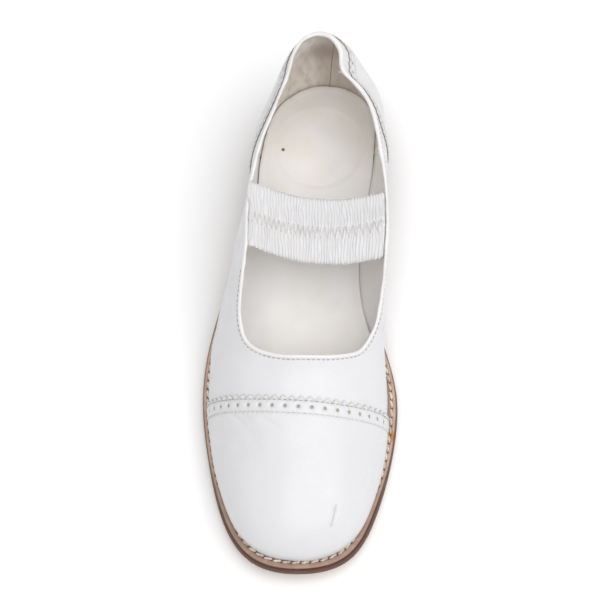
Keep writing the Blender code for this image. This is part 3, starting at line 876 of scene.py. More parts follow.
class Seam:
    """A line on a chart with true lengths along it and true distances to its left."""

    STEP: ClassVar[float] = 0.3
    SHARP: ClassVar[float] = 0.93       # how pointed a pinked tooth is; 1 is a true triangle

    def __init__(self, chart: FlatChart, places: Array) -> None:
        """Resamples the line by its true length.

        Args:
            chart: The map it is drawn on.
            places: Its points on the map.
        """
        dense = resampled(places, 0.5)
        along = lengths_along(chart.bend(dense, 0.0))
        count = max(int(along[-1] / self.STEP), 2)
        self.length = np.linspace(0.0, along[-1], count)
        self.places = at_lengths(self.length, along, dense)
        self.chart = chart
        heading = np.gradient(self.places, axis=0)
        self.forward, self.left = chart.frames(self.places, heading)

    @property
    def total(self) -> float:
        """True length of the line."""
        return float(self.length[-1])

    def spot(self, along: Array, beside: float | Array) -> Array:
        """Places beside the line.

        Args:
            along: True distances along it.
            beside: True distances to its left.

        Returns:
            The places on the map.
        """
        place = at_lengths(along, self.length, self.places)
        left = at_lengths(along, self.length, self.left)
        return place + left * np.broadcast_to(np.asarray(beside, float), np.shape(along))[:, None]

    def disc(self, along: float, beside: float, radius: float, corners: int = 16) -> Array:
        """A round hole's outline on the map."""
        turn = 2.0 * math.pi * np.arange(corners) / corners
        return self.spot(along + radius * np.cos(turn), beside + radius * np.sin(turn))

    def pinked(self, tooth: float, depth: float) -> Array:
        """The line cut into rounded triangular teeth.

        Args:
            tooth: Length of one tooth.
            depth: Height from the bottom of a notch to the tip of a tooth.

        Returns:
            Points of the toothed line on the map.
        """
        count = max(int(round(self.total / tooth)), 1)
        along = np.linspace(0.0, self.total, count * 14 + 1)
        turn = 2.0 * math.pi * count * along / self.total
        wave = np.arcsin(self.SHARP * np.cos(turn)) / math.asin(self.SHARP)
        return self.spot(along, wave * depth / 2.0)


def covering(points: Sequence[Array]) -> KDTree:
    """A tree for finding the nearest of some flat points.

    Args:
        points: Groups of points.

    Returns:
        The tree of all of them.
    """
    every = np.vstack(points)
    tree = KDTree(len(every))
    for i, (a, b) in enumerate(every):
        tree.insert((a, b, 0.0), i)
    tree.balance()
    return tree


def distances(tree: KDTree, places: Array) -> Array:
    """Distance from each flat place to the nearest point of a tree."""
    return np.array([tree.find((a, b, 0.0))[2] for a, b in places])


def inside(places: Array, loops: Sequence[Array]) -> Array:
    """Which flat places lie inside an outline and outside its holes.

    Args:
        places: The places.
        loops: The outline and the holes.

    Returns:
        True for each place that lies in the leather.
    """
    starts = np.vstack(loops)
    ends = np.vstack([np.roll(loop, -1, axis=0) for loop in loops])
    run = ends - starts
    found = np.zeros(len(places), bool)
    for first in range(0, len(places), 4000):
        a, b = places[first:first + 4000].T
        crosses = (starts[:, 1] > b[:, None]) != (ends[:, 1] > b[:, None])
        rise = np.where(run[:, 1] == 0.0, 1.0, run[:, 1])
        reach = starts[:, 0] + (b[:, None] - starts[:, 1]) * run[:, 0] / rise
        found[first:first + 4000] = np.sum(crosses & (a[:, None] < reach), axis=1) % 2 == 1
    return found


class Cutting:
    """A piece cut out of a chart, divided into even triangles."""

    ROW: ClassVar[float] = 0.866        # rows of even triangles stand this many sides apart
    OFF_GUIDE: ClassVar[float] = 0.62   # loose points keep this many sides off a guide line
    OFF_EDGE: ClassVar[float] = 0.45    # and this many off the outline,
    OFF_HOLE: ClassVar[float] = 0.3     # and this many millimetres off a hole

    def __init__(self, outline: Array, pitch: float, holes: Sequence[Array] = (),
                 guides: Sequence[Array] = (), open_edge: Optional[Array] = None) -> None:
        """Divides the piece.

        Args:
            outline: Points round the piece, close together.
            pitch: Wanted size of a triangle.
            holes: Outlines of the holes.
            guides: Lines of extra points, for instance along a row of stitches.
            open_edge: True for each outline point that is no cut edge but joins more leather.
        """
        if open_edge is None:
            open_edge = np.zeros(len(outline), bool)
        loops = [outline, *holes]
        cut = [outline[~open_edge], *holes]
        tree = covering(cut)
        low, high = outline.min(axis=0), outline.max(axis=0)
        across = np.arange(low[0], high[0], pitch)
        rows = np.arange(low[1], high[1], pitch * self.ROW)
        grid = np.stack(np.meshgrid(across, rows, indexing="ij"), axis=2)
        grid[:, 1::2, 0] += pitch / 2.0
        spread = grid.reshape(-1, 2)
        extra = [g for g in guides if len(g)]
        if extra:
            spread = spread[distances(covering(extra), spread) > self.OFF_GUIDE * pitch]
            spread = np.vstack([spread, *extra])
        spread = spread[distances(covering([outline]), spread) > self.OFF_EDGE * pitch]
        if holes:
            spread = spread[distances(covering(holes), spread) > self.OFF_HOLE]
        spread = spread[inside(spread, loops)]
        corners = np.vstack([*loops, spread])
        edges = []
        start = 0
        for loop in loops:
            edges += [(start + i, start + (i + 1) % len(loop)) for i in range(len(loop))]
            start += len(loop)
        found = delaunay_2d_cdt([Vector(p) for p in corners], edges, [], 0, 1e-6, True)
        self.places = np.array([tuple(p) for p in found[0]])
        faces = np.array(found[2])
        faces = faces[inside(self.places[faces].mean(axis=1), loops)]
        a, b, c = (self.places[faces[:, k]] for k in range(3))
        flat = (b - a)[:, 0] * (c - a)[:, 1] - (b - a)[:, 1] * (c - a)[:, 0]
        faces[flat < 0.0] = faces[flat < 0.0][:, ::-1]
        self.faces = faces
        where = {old: new for new, olds in enumerate(found[3]) for old in olds}
        self.loops: list[list[int]] = []
        start = 0
        for loop in loops:
            self.loops.append([where[start + i] for i in range(len(loop))])
            start += len(loop)
        self.from_edge = distances(tree, self.places)


# ---- Finishes -------------------------------------------------------------------------------
Colour = tuple[float, float, float]
Socket = bpy.types.NodeSocket


class Shader:
    """A material's nodes, working in the shoe's millimetres, laid one by one."""

    MARK: ClassVar[str] = "mark"

    def __init__(self, name: str) -> None:
        """Starts a material with a Principled shader.

        Args:
            name: The material's name.
        """
        self.material = bpy.data.materials.new(name)
        self.material.use_nodes = True
        self.tree = self.material.node_tree
        self.principled = self.tree.nodes["Principled BSDF"]
        place = self.node("ShaderNodeTexCoord").outputs["Object"]
        self.where = self.vector("MULTIPLY_ADD", place, (1.0 / MM,) * 3, (0.0, 0.0, 0.0))

    def node(self, kind: str, **settings: object) -> bpy.types.Node:
        """Adds a node.

        Args:
            kind: Its type.
            **settings: Its settings by name.

        Returns:
            The node.
        """
        made = self.tree.nodes.new(kind)
        for key, value in settings.items():
            setattr(made, key, value)
        return made

    def feed(self, socket: Socket, value: object) -> None:
        """Links a socket or sets its constant.

        Args:
            socket: The input.
            value: An output to link, a colour, a vector or a number.
        """
        if isinstance(value, bpy.types.NodeSocket):
            self.tree.links.new(value, socket)
        elif isinstance(value, tuple) and len(value) == 3 and socket.type == "RGBA":
            socket.default_value = (*value, 1.0)
        else:
            socket.default_value = value

    def shade(self, **inputs: object) -> None:
        """Sets the Principled shader's sockets by their names, spaces written as underlines."""
        for key, value in inputs.items():
            self.feed(self.principled.inputs[key.replace("_", " ")], value)

    def vector(self, operation: str, *values: object) -> Socket:
        """A sum of vectors.

        Args:
            operation: Blender's name of it.
            *values: What goes in.

        Returns:
            The result.
        """
        made = self.node("ShaderNodeVectorMath", operation=operation)
        for socket, value in zip(made.inputs, values):
            self.feed(socket, value)
        return made.outputs["Value" if operation == "DISTANCE" else "Vector"]

    def sum(self, operation: str, *values: object) -> Socket:
        """A sum of numbers.

        Args:
            operation: Blender's name of it.
            *values: What goes in.

        Returns:
            The result.
        """
        made = self.node("ShaderNodeMath", operation=operation)
        for socket, value in zip(made.inputs, values):
            self.feed(socket, value)
        return made.outputs[0]

    def part(self, axis: str) -> Socket:
        """One of the place's coordinates in the frame.

        Args:
            axis: X, Y or Z.

        Returns:
            The coordinate in millimetres.
        """
        made = self.node("ShaderNodeSeparateXYZ")
        self.feed(made.inputs[0], self.where)
        return made.outputs[axis]

    def ramp(self, value: Socket, low: float, high: float, start: float = 0.0,
             end: float = 1.0) -> Socket:
        """A value carried smoothly from one range to another.

        Args:
            value: What is carried over.
            low: Where the ramp starts.
            high: Where it ends.
            start: Result at and before its start.
            end: Result at and after its end.

        Returns:
            The ramp's output.
        """
        made = self.node("ShaderNodeMapRange", interpolation_type="SMOOTHSTEP")
        for socket, number in zip(made.inputs, (value, low, high, start, end)):
            self.feed(socket, number)
        return made.outputs[0]

    def noise(self, size: float, detail: float = 3.0, stretch: tuple[float, float, float] = (1, 1, 1),
              offset: float = 0.0) -> Socket:
        """Noise around 0.5.

        Args:
            size: Typical size of a blot in millimetres.
            detail: How many finer layers it has.
            stretch: How much the noise is squeezed along the frame's axes.
            offset: Chooses another part of the noise.

        Returns:
            The noise's value.
        """
        made = self.node("ShaderNodeTexNoise")
        scale = tuple(k / size for k in stretch)
        self.feed(made.inputs["Vector"], self.vector("MULTIPLY_ADD", self.where, scale, (offset,) * 3))
        made.inputs["Scale"].default_value = 1.0
        made.inputs["Detail"].default_value = detail
        return made.outputs[0]

    def cells(self, size: float) -> Socket:
        """Small uneven cells.

        Args:
            size: Their typical size in millimetres.

        Returns:
            The distance from the nearest edge of a cell.
        """
        made = self.node("ShaderNodeTexVoronoi", feature="DISTANCE_TO_EDGE")
        self.feed(made.inputs["Vector"], self.where)
        made.inputs["Scale"].default_value = 1.0 / size
        return made.outputs[0]

    def near(self, s: float, x: float, z: float, radius: float, soft: float) -> Socket:
        """1 within a radius of a place on the shoe, 0 outside it."""
        away = self.vector("DISTANCE", self.where, tuple(k / MM for k in PLACE.location(s, x, z)))
        return self.ramp(away, radius - soft, radius + soft, 1.0, 0.0)

    def mark(self) -> Socket:
        """The piece's own mark: how dark each of its corners is, through painted shade and, on some pieces,
        dirt and edge paint.
        """
        return self.node("ShaderNodeAttribute", attribute_name=self.MARK).outputs["Fac"]

    def mix(self, share: Socket, first: object, second: object) -> Socket:
        """A mixture of two colours.

        Args:
            share: The second one's share.
            first: The first one.
            second: The second one.

        Returns:
            The colour.
        """
        made = self.node("ShaderNodeMix", data_type="RGBA")
        self.feed(made.inputs[0], share)
        self.feed(made.inputs[6], first)
        self.feed(made.inputs[7], second)
        return made.outputs[2]

    def bump(self, height: Socket, depth: float) -> None:
        """Presses fine relief into the surface.

        Args:
            height: The relief's shape.
            depth: Its depth in millimetres.
        """
        made = self.node("ShaderNodeBump")
        made.inputs["Distance"].default_value = depth * MM
        self.feed(made.inputs["Height"], height)
        self.feed(self.principled.inputs["Normal"], made.outputs[0])


@dataclass(frozen=True)
class Leather:
    """Coated leather: colour, painted shade and soiling in its marks, soiling in blots, gloss and grain."""

    name: str
    colour: Colour
    soil_and_shade: Colour = (0.42, 0.38, 0.33)
    soiled: float = 0.12
    roughness: float = 0.42
    coat: float = 0.15
    coat_roughness: float = 0.25
    specular: float = 0.35
    grain: float = 0.035
    grain_size: float = 1.3

    def material(self) -> bpy.types.Material:
        """Builds the leather's material."""
        shader = Shader(self.name)
        blots = shader.ramp(shader.noise(16.0, 5.0), 0.50, 0.78, 0.0, self.soiled)
        # The blots are soil; the mark adds painted shade along edges, joins, grooves and holes, with dirt at
        # the back of the rim.
        dirt_and_shade = shader.sum("MAXIMUM", blots, shader.mark())
        uneven = shader.noise(30.0, 3.0, offset=7.0)
        tint = shader.mix(uneven, self.colour, tuple(0.955 * c for c in self.colour))
        shader.shade(
            Base_Color=shader.mix(dirt_and_shade, tint, self.soil_and_shade),
            Roughness=shader.ramp(shader.noise(9.0, 4.0, offset=3.0), 0.3, 0.8,
                                  self.roughness * 0.8, self.roughness * 1.3),
            Specular_IOR_Level=self.specular, Coat_Weight=self.coat,
            Coat_Roughness=self.coat_roughness)
        pores = shader.sum("ADD", shader.ramp(shader.cells(self.grain_size), 0.0, 0.25),
                           shader.noise(self.grain_size * 2.5, 4.0, offset=11.0))
        shader.bump(pores, self.grain)
        return shader.material


@dataclass(frozen=True)
class Cut:
    """The bare cut edge of leather, or unfinished leather: matt and a little fibrous."""

    name: str
    colour: Colour
    shade: Colour
    size: float = 1.2
    roughness: float = 0.85

    def material(self) -> bpy.types.Material:
        """Builds the material of the bare leather."""
        shader = Shader(self.name)
        fibres = shader.noise(self.size, 5.0)
        # The mark adds painted shade to the fibres' tone: on the pieces' undersides, at the feet of their cut
        # edges and in the bottoms of their perforations.
        dirt_and_shade = shader.sum("MAXIMUM", shader.ramp(fibres, 0.45, 0.7, 0.0, 0.7), shader.mark())
        shader.shade(Base_Color=shader.mix(dirt_and_shade, self.colour, self.shade), Roughness=self.roughness)
        shader.bump(fibres, 0.12)
        return shader.material


@dataclass(frozen=True)
class Suede:
    """Napped lining leather with darker worn stains, painted shade on its medial half at the back, a closed
    seam and frayed spots.
    """

    name: str
    colour: Colour
    worn: Colour
    frayed: Colour = (0.85, 0.82, 0.78)
    # Spots as (s, x, z, radius, softness): one worn, two frayed.
    worn_at: tuple[float, ...] = (3.5, 5.5, 63.0, 9.0, 8.0)
    frayed_at: tuple[float, ...] = (3.4, 12.4, 40.4, 1.1, 0.5)
    frayed_below: tuple[float, ...] = (12.4, -16.4, 32.8, 1.0, 0.6)
    seam_at: float = PLACE.location(0.0, 4.15, 0.0)[0] / MM
    seam_lean: float = 0.083
    seam_from: float = 118.0
    # Painted shade on the heel's suede deepens towards the medial side from this X.
    medial_shade_from: float = PLACE.location(0.0, -3.0, 0.0)[0] / MM

    def material(self) -> bpy.types.Material:
        """Builds the suede's material."""
        shader = Shader(self.name)
        nap = shader.noise(0.7, 4.0)
        streaks = shader.ramp(shader.noise(7.0, 6.0, stretch=(2.2, 2.2, 0.6)), 0.35, 0.75, 0.0, 0.42)
        base = shader.mix(streaks, self.colour, self.worn)
        worn = shader.sum("MULTIPLY", shader.near(*self.worn_at), 0.80)
        base = shader.mix(worn, base, self.worn)
        # Painted shade: the suede's medial half at the back is darkened towards the worn colour.
        medial_shade = shader.sum("MULTIPLY", shader.ramp(shader.part("X"), self.medial_shade_from, self.medial_shade_from + 9.0,
                                                     0.0, 0.5),
                             shader.ramp(shader.part("Y"), self.seam_from - 3.0, self.seam_from + 4.0))
        base = shader.mix(medial_shade, base, self.worn)
        frayed = shader.sum("MAXIMUM", shader.near(*self.frayed_at), shader.near(*self.frayed_below))
        base = shader.mix(frayed, base, self.frayed)
        lean = shader.sum("MULTIPLY_ADD", shader.part("Z"), -self.seam_lean, shader.part("X"))
        aside = shader.sum("ABSOLUTE", shader.sum("SUBTRACT", lean, self.seam_at))
        seam = shader.sum("MULTIPLY", shader.ramp(aside, 0.10, 0.30, 0.8, 0.0),
                          shader.ramp(shader.part("Y"), self.seam_from - 1.0, self.seam_from))
        base = shader.mix(seam, base, tuple(0.25 * c for c in self.worn))
        # The mark is the painted shade at the lining's foot, next to the sock.
        shader.shade(Base_Color=shader.mix(shader.mark(), base, self.worn), Roughness=0.95,
                     Sheen_Weight=0.35, Sheen_Roughness=0.5)
        shader.bump(nap, 0.15)
        return shader.material


@dataclass(frozen=True)
class Sock:
    """The insole's smooth leather with the wear of a foot on it and painted shade from its mark."""

    name: str
    colour: Colour
    yellowed: Colour
    worn: Colour
    spot: Colour = (0.10, 0.08, 0.06)
    spot_at: tuple[float, ...] = (41.4, -17.0, 27.2, 0.85, 0.45)    # s, x, z, radius, softness

    def material(self) -> bpy.types.Material:
        """Builds the insole's material."""
        shader = Shader(self.name)
        tint = shader.ramp(shader.noise(24.0, 4.0), 0.4, 0.65)
        base = shader.mix(tint, self.colour, self.yellowed)
        wear = shader.ramp(shader.noise(14.0, 5.0, offset=4.0), 0.5, 0.85, 0.0, 0.4)
        base = shader.mix(wear, base, self.worn)
        # The mark paints shade along the sock's edges, where it meets the lining, and shade and dirt in the
        # groove round the heel's pad.
        base = shader.mix(shader.mark(), base, self.worn)
        base = shader.mix(shader.near(*self.spot_at), base, self.spot)
        shader.shade(Base_Color=base, Roughness=shader.ramp(wear, 0.0, 0.5, 0.42, 0.62))
        shader.bump(shader.noise(1.1, 4.0, offset=2.0), 0.05)
        return shader.material


@dataclass(frozen=True)
class Welting:
    """Natural welt leather, darker towards the toe, stained in one place and darkened by its mark: edge paint
    on the bevel, painted shade in the stitch ditch, needle holes and under the upper's edge.
    """

    name: str
    colour: Colour
    pale: Colour
    dark: Colour
    amber: Colour
    stain_at: tuple[float, ...] = (189.3, 37.8, 6.7, 3.6, 1.2)      # s, x, z, radius, softness

    def material(self) -> bpy.types.Material:
        """Builds the welt's material."""
        shader = Shader(self.name)
        rub = shader.ramp(shader.noise(5.0, 5.0), 0.42, 0.66)
        base = shader.mix(rub, self.colour, self.pale)
        toe = shader.ramp(shader.part("Y"), -112.0, -60.0, 0.34, 0.0)
        base = shader.mix(toe, base, self.dark)
        base = shader.mix(shader.near(*self.stain_at), base, self.amber)
        # The mark is edge paint on the bevel and painted shade in the stitch ditch, the needle holes and
        # under the upper.
        base = shader.mix(shader.mark(), base, self.dark)
        shader.shade(Base_Color=base, Roughness=shader.ramp(rub, 0.0, 1.0, 0.5, 0.68))
        shader.bump(shader.noise(0.9, 4.0, offset=5.0), 0.08)
        return shader.material


@dataclass(frozen=True)
class PaintedEdge:
    """Waxed and stained edges of stacked leather, rubbed paler in streaks."""

    name: str
    colour: Colour
    rubbed: Colour
    layer: float
    roughness: float = 0.42

    def material(self) -> bpy.types.Material:
        """Builds the edge's material."""
        shader = Shader(self.name)
        streaks = shader.noise(7.0, 5.0, stretch=(1.0, 1.0, 5.0))
        base = shader.mix(shader.ramp(streaks, 0.45, 0.75, 0.0, 0.6), self.colour, self.rubbed)
        seams = shader.sum("PINGPONG", shader.part("Z"), self.layer / 2.0)
        base = shader.mix(shader.ramp(seams, 0.0, 0.22, 0.55, 0.0), base,
                          tuple(0.3 * c for c in self.colour))
        base = shader.mix(shader.mark(), base, tuple(0.35 * c for c in self.colour))
        shader.shade(Base_Color=base, Specular_IOR_Level=0.3, Roughness=shader.ramp(
            streaks, 0.3, 0.7, self.roughness * 0.8, self.roughness * 1.35))
        shader.bump(streaks, 0.12)
        return shader.material


@dataclass(frozen=True)
class Thread:
    """Waxed linen or fine machine thread."""

    name: str
    colour: Colour
    shade: Colour

    def material(self) -> bpy.types.Material:
        """Builds the thread's material."""
        shader = Shader(self.name)
        share = shader.ramp(shader.noise(6.0, 3.0), 0.35, 0.7)
        shader.shade(Base_Color=shader.mix(share, self.colour, self.shade), Roughness=0.7)
        shader.bump(shader.noise(0.25, 2.0), 0.04)
        return shader.material


WHITE = Leather("upper_white", (0.745, 0.745, 0.765), soiled=0.05)
RIM_WHITE = Leather("rim_white", (0.80, 0.785, 0.78), soil_and_shade=(0.36, 0.29, 0.23), soiled=0.10, coat=0.35)
CAP_WHITE = Leather("cap_white", (0.73, 0.73, 0.745), soiled=0.05)
COUNTER_WHITE = Leather("counter_white", (0.76, 0.76, 0.775), soiled=0.05)
STRAP_WHITE = Leather("strap_white", (0.715, 0.71, 0.725), soiled=0.08, roughness=0.5, coat=0.10,
                      grain_size=0.8)
LINING = Leather("lining_white", (0.94, 0.915, 0.895), soil_and_shade=(0.66, 0.60, 0.54), soiled=0.12,
                 roughness=0.6, coat=0.0)
RAW_EDGE = Cut("raw_edge", (0.55, 0.52, 0.49), (0.36, 0.32, 0.28))
WORN_EDGE = Cut("worn_edge", (0.27, 0.22, 0.19), (0.13, 0.10, 0.085))
SOLE_LEATHER = Cut("sole_leather", (0.45, 0.29, 0.18), (0.16, 0.11, 0.08), size=5.0, roughness=0.6)
BOARD = Cut("insole_board", (0.60, 0.54, 0.47), (0.36, 0.31, 0.26))
TAUPE = Suede("heel_suede", (0.88, 0.825, 0.75), (0.37, 0.29, 0.235))
SOCK = Sock("insole_sock_white", (0.845, 0.83, 0.82), (0.83, 0.803, 0.758), (0.75, 0.72, 0.69))
WELTING = Welting("welt_natural", (0.47, 0.31, 0.235), (0.57, 0.40, 0.31), (0.10, 0.042, 0.023),
                  (0.46, 0.19, 0.035))
WELT_EDGE = PaintedEdge("welt_edge", (0.105, 0.042, 0.024), (0.19, 0.085, 0.055), 60.0, 0.55)
SOLE_EDGE = PaintedEdge("sole_edge", (0.122, 0.054, 0.039), (0.23, 0.13, 0.10), 60.0, 0.55)
HEEL_EDGE = PaintedEdge("heel_edge", (0.15, 0.062, 0.042), (0.30, 0.15, 0.11), 4.07)
TOP_PIECE = PaintedEdge("heel_top_piece", (0.022, 0.020, 0.019), (0.06, 0.055, 0.05), 60.0, 0.6)
WELT_THREAD = Thread("welt_thread", (0.78, 0.73, 0.66), (0.55, 0.46, 0.38))
FINE_THREAD = Thread("fine_thread", (0.43, 0.42, 0.41), (0.28, 0.27, 0.26))
PALE_THREAD = Thread("pale_thread", (0.66, 0.65, 0.64), (0.50, 0.49, 0.48))
STRAP_THREAD = Thread("strap_thread", (0.69, 0.675, 0.66), (0.53, 0.51, 0.49))
Finish = Leather | Cut | Suede | Sock | Welting | PaintedEdge | Thread


# ---- Building pieces ------------------------------------------------------------------------
class Stock:
    """Corners and faces of one piece while it is being built, in the shoe's millimetres."""

    # The record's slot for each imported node.
    SLOTS: ClassVar[dict[str, str]] = {
        "outsole": "outsole_leather", "heel": "heel_leather", "welt": "welt_leather",
        "upper": "upper_leather", "toe_cap": "cap_leather", "heel_counter": "counter_leather",
        "instep_strap": "strap_leather", "insole": "insole_leather"}
    WELD: ClassVar[float] = 2e-6                    # corners nearer than this are joined, in metres
    SHARP: ClassVar[float] = math.radians(48.0)     # edges that turn more than this stay sharp

    def __init__(self) -> None:
        """Starts with nothing."""
        self.corners: list[Array] = []
        self.marks: list[Array] = []
        self.faces: list[list[int]] = []
        self.slots: list[int] = []
        self.count = 0

    def add(self, points: Array, faces: Sequence[Sequence[int]], slot: int = 0,
            mark: float | Array = 0.0) -> int:
        """Adds corners and faces.

        Args:
            points: (s, x, z) of the corners.
            faces: Corner numbers of each face, counted from 0 in these points.
            slot: Which of the piece's finishes the faces take.
            mark: How dark the corners are: painted shade, with dirt and edge paint on some pieces.

        Returns:
            The number of the first new corner.
        """
        start = self.count
        self.corners.append(points)
        self.marks.append(np.broadcast_to(np.asarray(mark, float), (len(points),)))
        self.join(faces, slot, start)
        self.count += len(points)
        return start

    def join(self, faces: Sequence[Sequence[int]], slot: int = 0, start: int = 0) -> None:
        """Adds faces between corners that are there already.

        Args:
            faces: Corner numbers of each face.
            slot: Which of the piece's finishes the faces take.
            start: Added to every corner number.
        """
        for face in np.asarray(faces).tolist() if isinstance(faces, Array) else faces:
            self.faces.append([k + start for k in face])
        self.slots.extend([slot] * len(faces))

    def piece(self, name: str, finishes: Sequence[Finish], node: str,
              weld: bool = True) -> bpy.types.Object:
        """Makes the object.

        Args:
            name: Its name.
            finishes: Its finishes, in the order of the slots used.
            node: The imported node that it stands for.
            weld: Whether corners that lie on each other are joined.

        Returns:
            The new object, riding with the shoe.
        """
        data = bpy.data.meshes.new(name)
        data.from_pydata(PLACE.to_frame(np.vstack(self.corners)).tolist(), [], self.faces)
        mark = data.attributes.new(Shader.MARK, "FLOAT", "POINT")
        mark.data.foreach_set("value", np.concatenate(self.marks).astype(np.float32))
        data.polygons.foreach_set("material_index", self.slots)
        for finish in finishes:
            data.materials.append(material_of(finish))
        work = bmesh.new()
        work.from_mesh(data)
        if weld:
            bmesh.ops.remove_doubles(work, verts=work.verts, dist=self.WELD)
        bmesh.ops.recalc_face_normals(work, faces=work.faces)
        work.to_mesh(data)
        work.free()
        data.shade_smooth()
        data.set_sharp_from_angle(angle=self.SHARP)
        made = bpy.data.objects.new(name, data)
        bpy.context.scene.collection.objects.link(made)
        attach(made, "root")
        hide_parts(node)
        return made


def material_of(finish: Finish) -> bpy.types.Material:
    """The finish's material, built when it is first used."""
    return bpy.data.materials.get(finish.name) or finish.material()


def grid_faces(columns: int, rows: int, closed: bool = False) -> Array:
    """Four-cornered faces of a net whose corners are numbered row by row within each column.

    Args:
        columns: Number of columns.
        rows: Number of rows.
        closed: Whether the last column joins the first one.

    Returns:
        The faces' corner numbers.
    """
    i, j = np.meshgrid(np.arange(columns if closed else columns - 1), np.arange(rows - 1), indexing="ij")
    near, far = i * rows + j, (i + 1) % columns * rows + j
    return np.stack([near, far, far + 1, near + 1], axis=2).reshape(-1, 4)


def ring_walls(first: Array, second: Array) -> Array:
    """Four-cornered faces between two closed rings of corners."""
    return np.stack([first, np.roll(first, -1), np.roll(second, -1), second], axis=1)


def tubes(stock: Stock, paths: Array, ups: Array, width: Array, height: Array, slot: int = 0,
          corners: int = 6) -> None:
    """Adds closed round or flattened tubes.

    Args:
        stock: The piece they belong to.
        paths: (tube, place along it, s x z).
        ups: The way up at each of those places.
        width: Half width at each place along a tube.
        height: Half height at each place along a tube.
        slot: Which finish they take.
        corners: Corners of a section.
    """
    tubes_count, steps, _ = paths.shape
    ahead = np.gradient(paths, axis=1)
    side = unit(np.cross(ahead, ups))
    top = unit(np.cross(side, ahead))
    turn = 2.0 * math.pi * np.arange(corners) / corners
    wide = (side * np.reshape(width, (1, -1, 1)))[:, :, None] * np.cos(turn)[:, None]
    high = (top * np.reshape(height, (1, -1, 1)))[:, :, None] * np.sin(turn)[:, None]
    points = paths[:, :, None] + wide + high
    sides = [ring_walls(k * corners + np.arange(corners), (k + 1) * corners + np.arange(corners))
             for k in range(steps - 1)]
    one = np.vstack(sides).tolist()
    one += [list(range(corners))[::-1], [(steps - 1) * corners + k for k in range(corners)]]
    size = steps * corners
    faces = [[k + size * n for k in face] for n in range(tubes_count) for face in one]
    stock.add(points.reshape(-1, 3), faces, slot)


@dataclass(frozen=True)
class Stitching:
    """A row of stitches along a seam line."""

    pitch: float
    length: float
    thickness: float

    # One stitch: places along it, their rise in half thicknesses and the thread's girth there.
    SHARE: ClassVar[Array] = np.array([0.0, 0.14, 0.5, 0.86, 1.0])
    RISE: ClassVar[Array] = np.array([-1.3, 0.35, 0.8, 0.35, -1.3])
    GIRTH: ClassVar[Array] = np.array([0.75, 1.0, 1.0, 1.0, 0.75])

    def needle_holes(self, seam: Seam, beside: float) -> Array:
        """Places of the needle holes on the seam's map.

        Args:
            seam: The line that the stitches follow.
            beside: Their distance to the left of that line.

        Returns:
            One place for each hole.
        """
        count = int(seam.total // self.pitch)
        along = self.first(seam) + np.arange(count + 1) * self.pitch
        return seam.spot(np.clip(along - (self.pitch - self.length) / 2.0, 0.0, seam.total), beside)

    def first(self, seam: Seam) -> float:
        """Distance of the first stitch from the seam's start."""
        return (seam.total - int(seam.total // self.pitch) * self.pitch) / 2.0

    def sew(self, stock: Stock, seam: Seam, beside: float, lift: float, slot: int = 0) -> None:
        """Adds the stitches.

        Args:
            stock: The piece that they are added to.
            seam: The line that they follow.
            beside: Their distance to the left of that line.
            lift: Height of the leather that they lie on, above the skin.
            slot: Which finish they take.
        """
        count = int(seam.total // self.pitch)
        start = self.first(seam) + np.arange(count) * self.pitch
        places = seam.spot((start[:, None] + self.SHARE * self.length).ravel(), beside)
        rise = np.tile(self.RISE * self.thickness / 2.0, count)
        self.thread(stock, seam.chart.bend(places, lift + rise), seam.chart.facing(places), slot)

    def thread(self, stock: Stock, points: Array, ups: Array, slot: int = 0) -> None:
        """Adds the thread of a whole row.

        Args:
            stock: The piece that it is added to.
            points: (s, x, z) at each place along each stitch, stitch after stitch.
            ups: The way up at each of them.
            slot: Which finish it takes.
        """
        half = self.thickness / 2.0 * self.GIRTH
        shape = (-1, len(self.SHARE), 3)
        tubes(stock, points.reshape(shape), ups.reshape(shape), half, half * 0.8, slot)


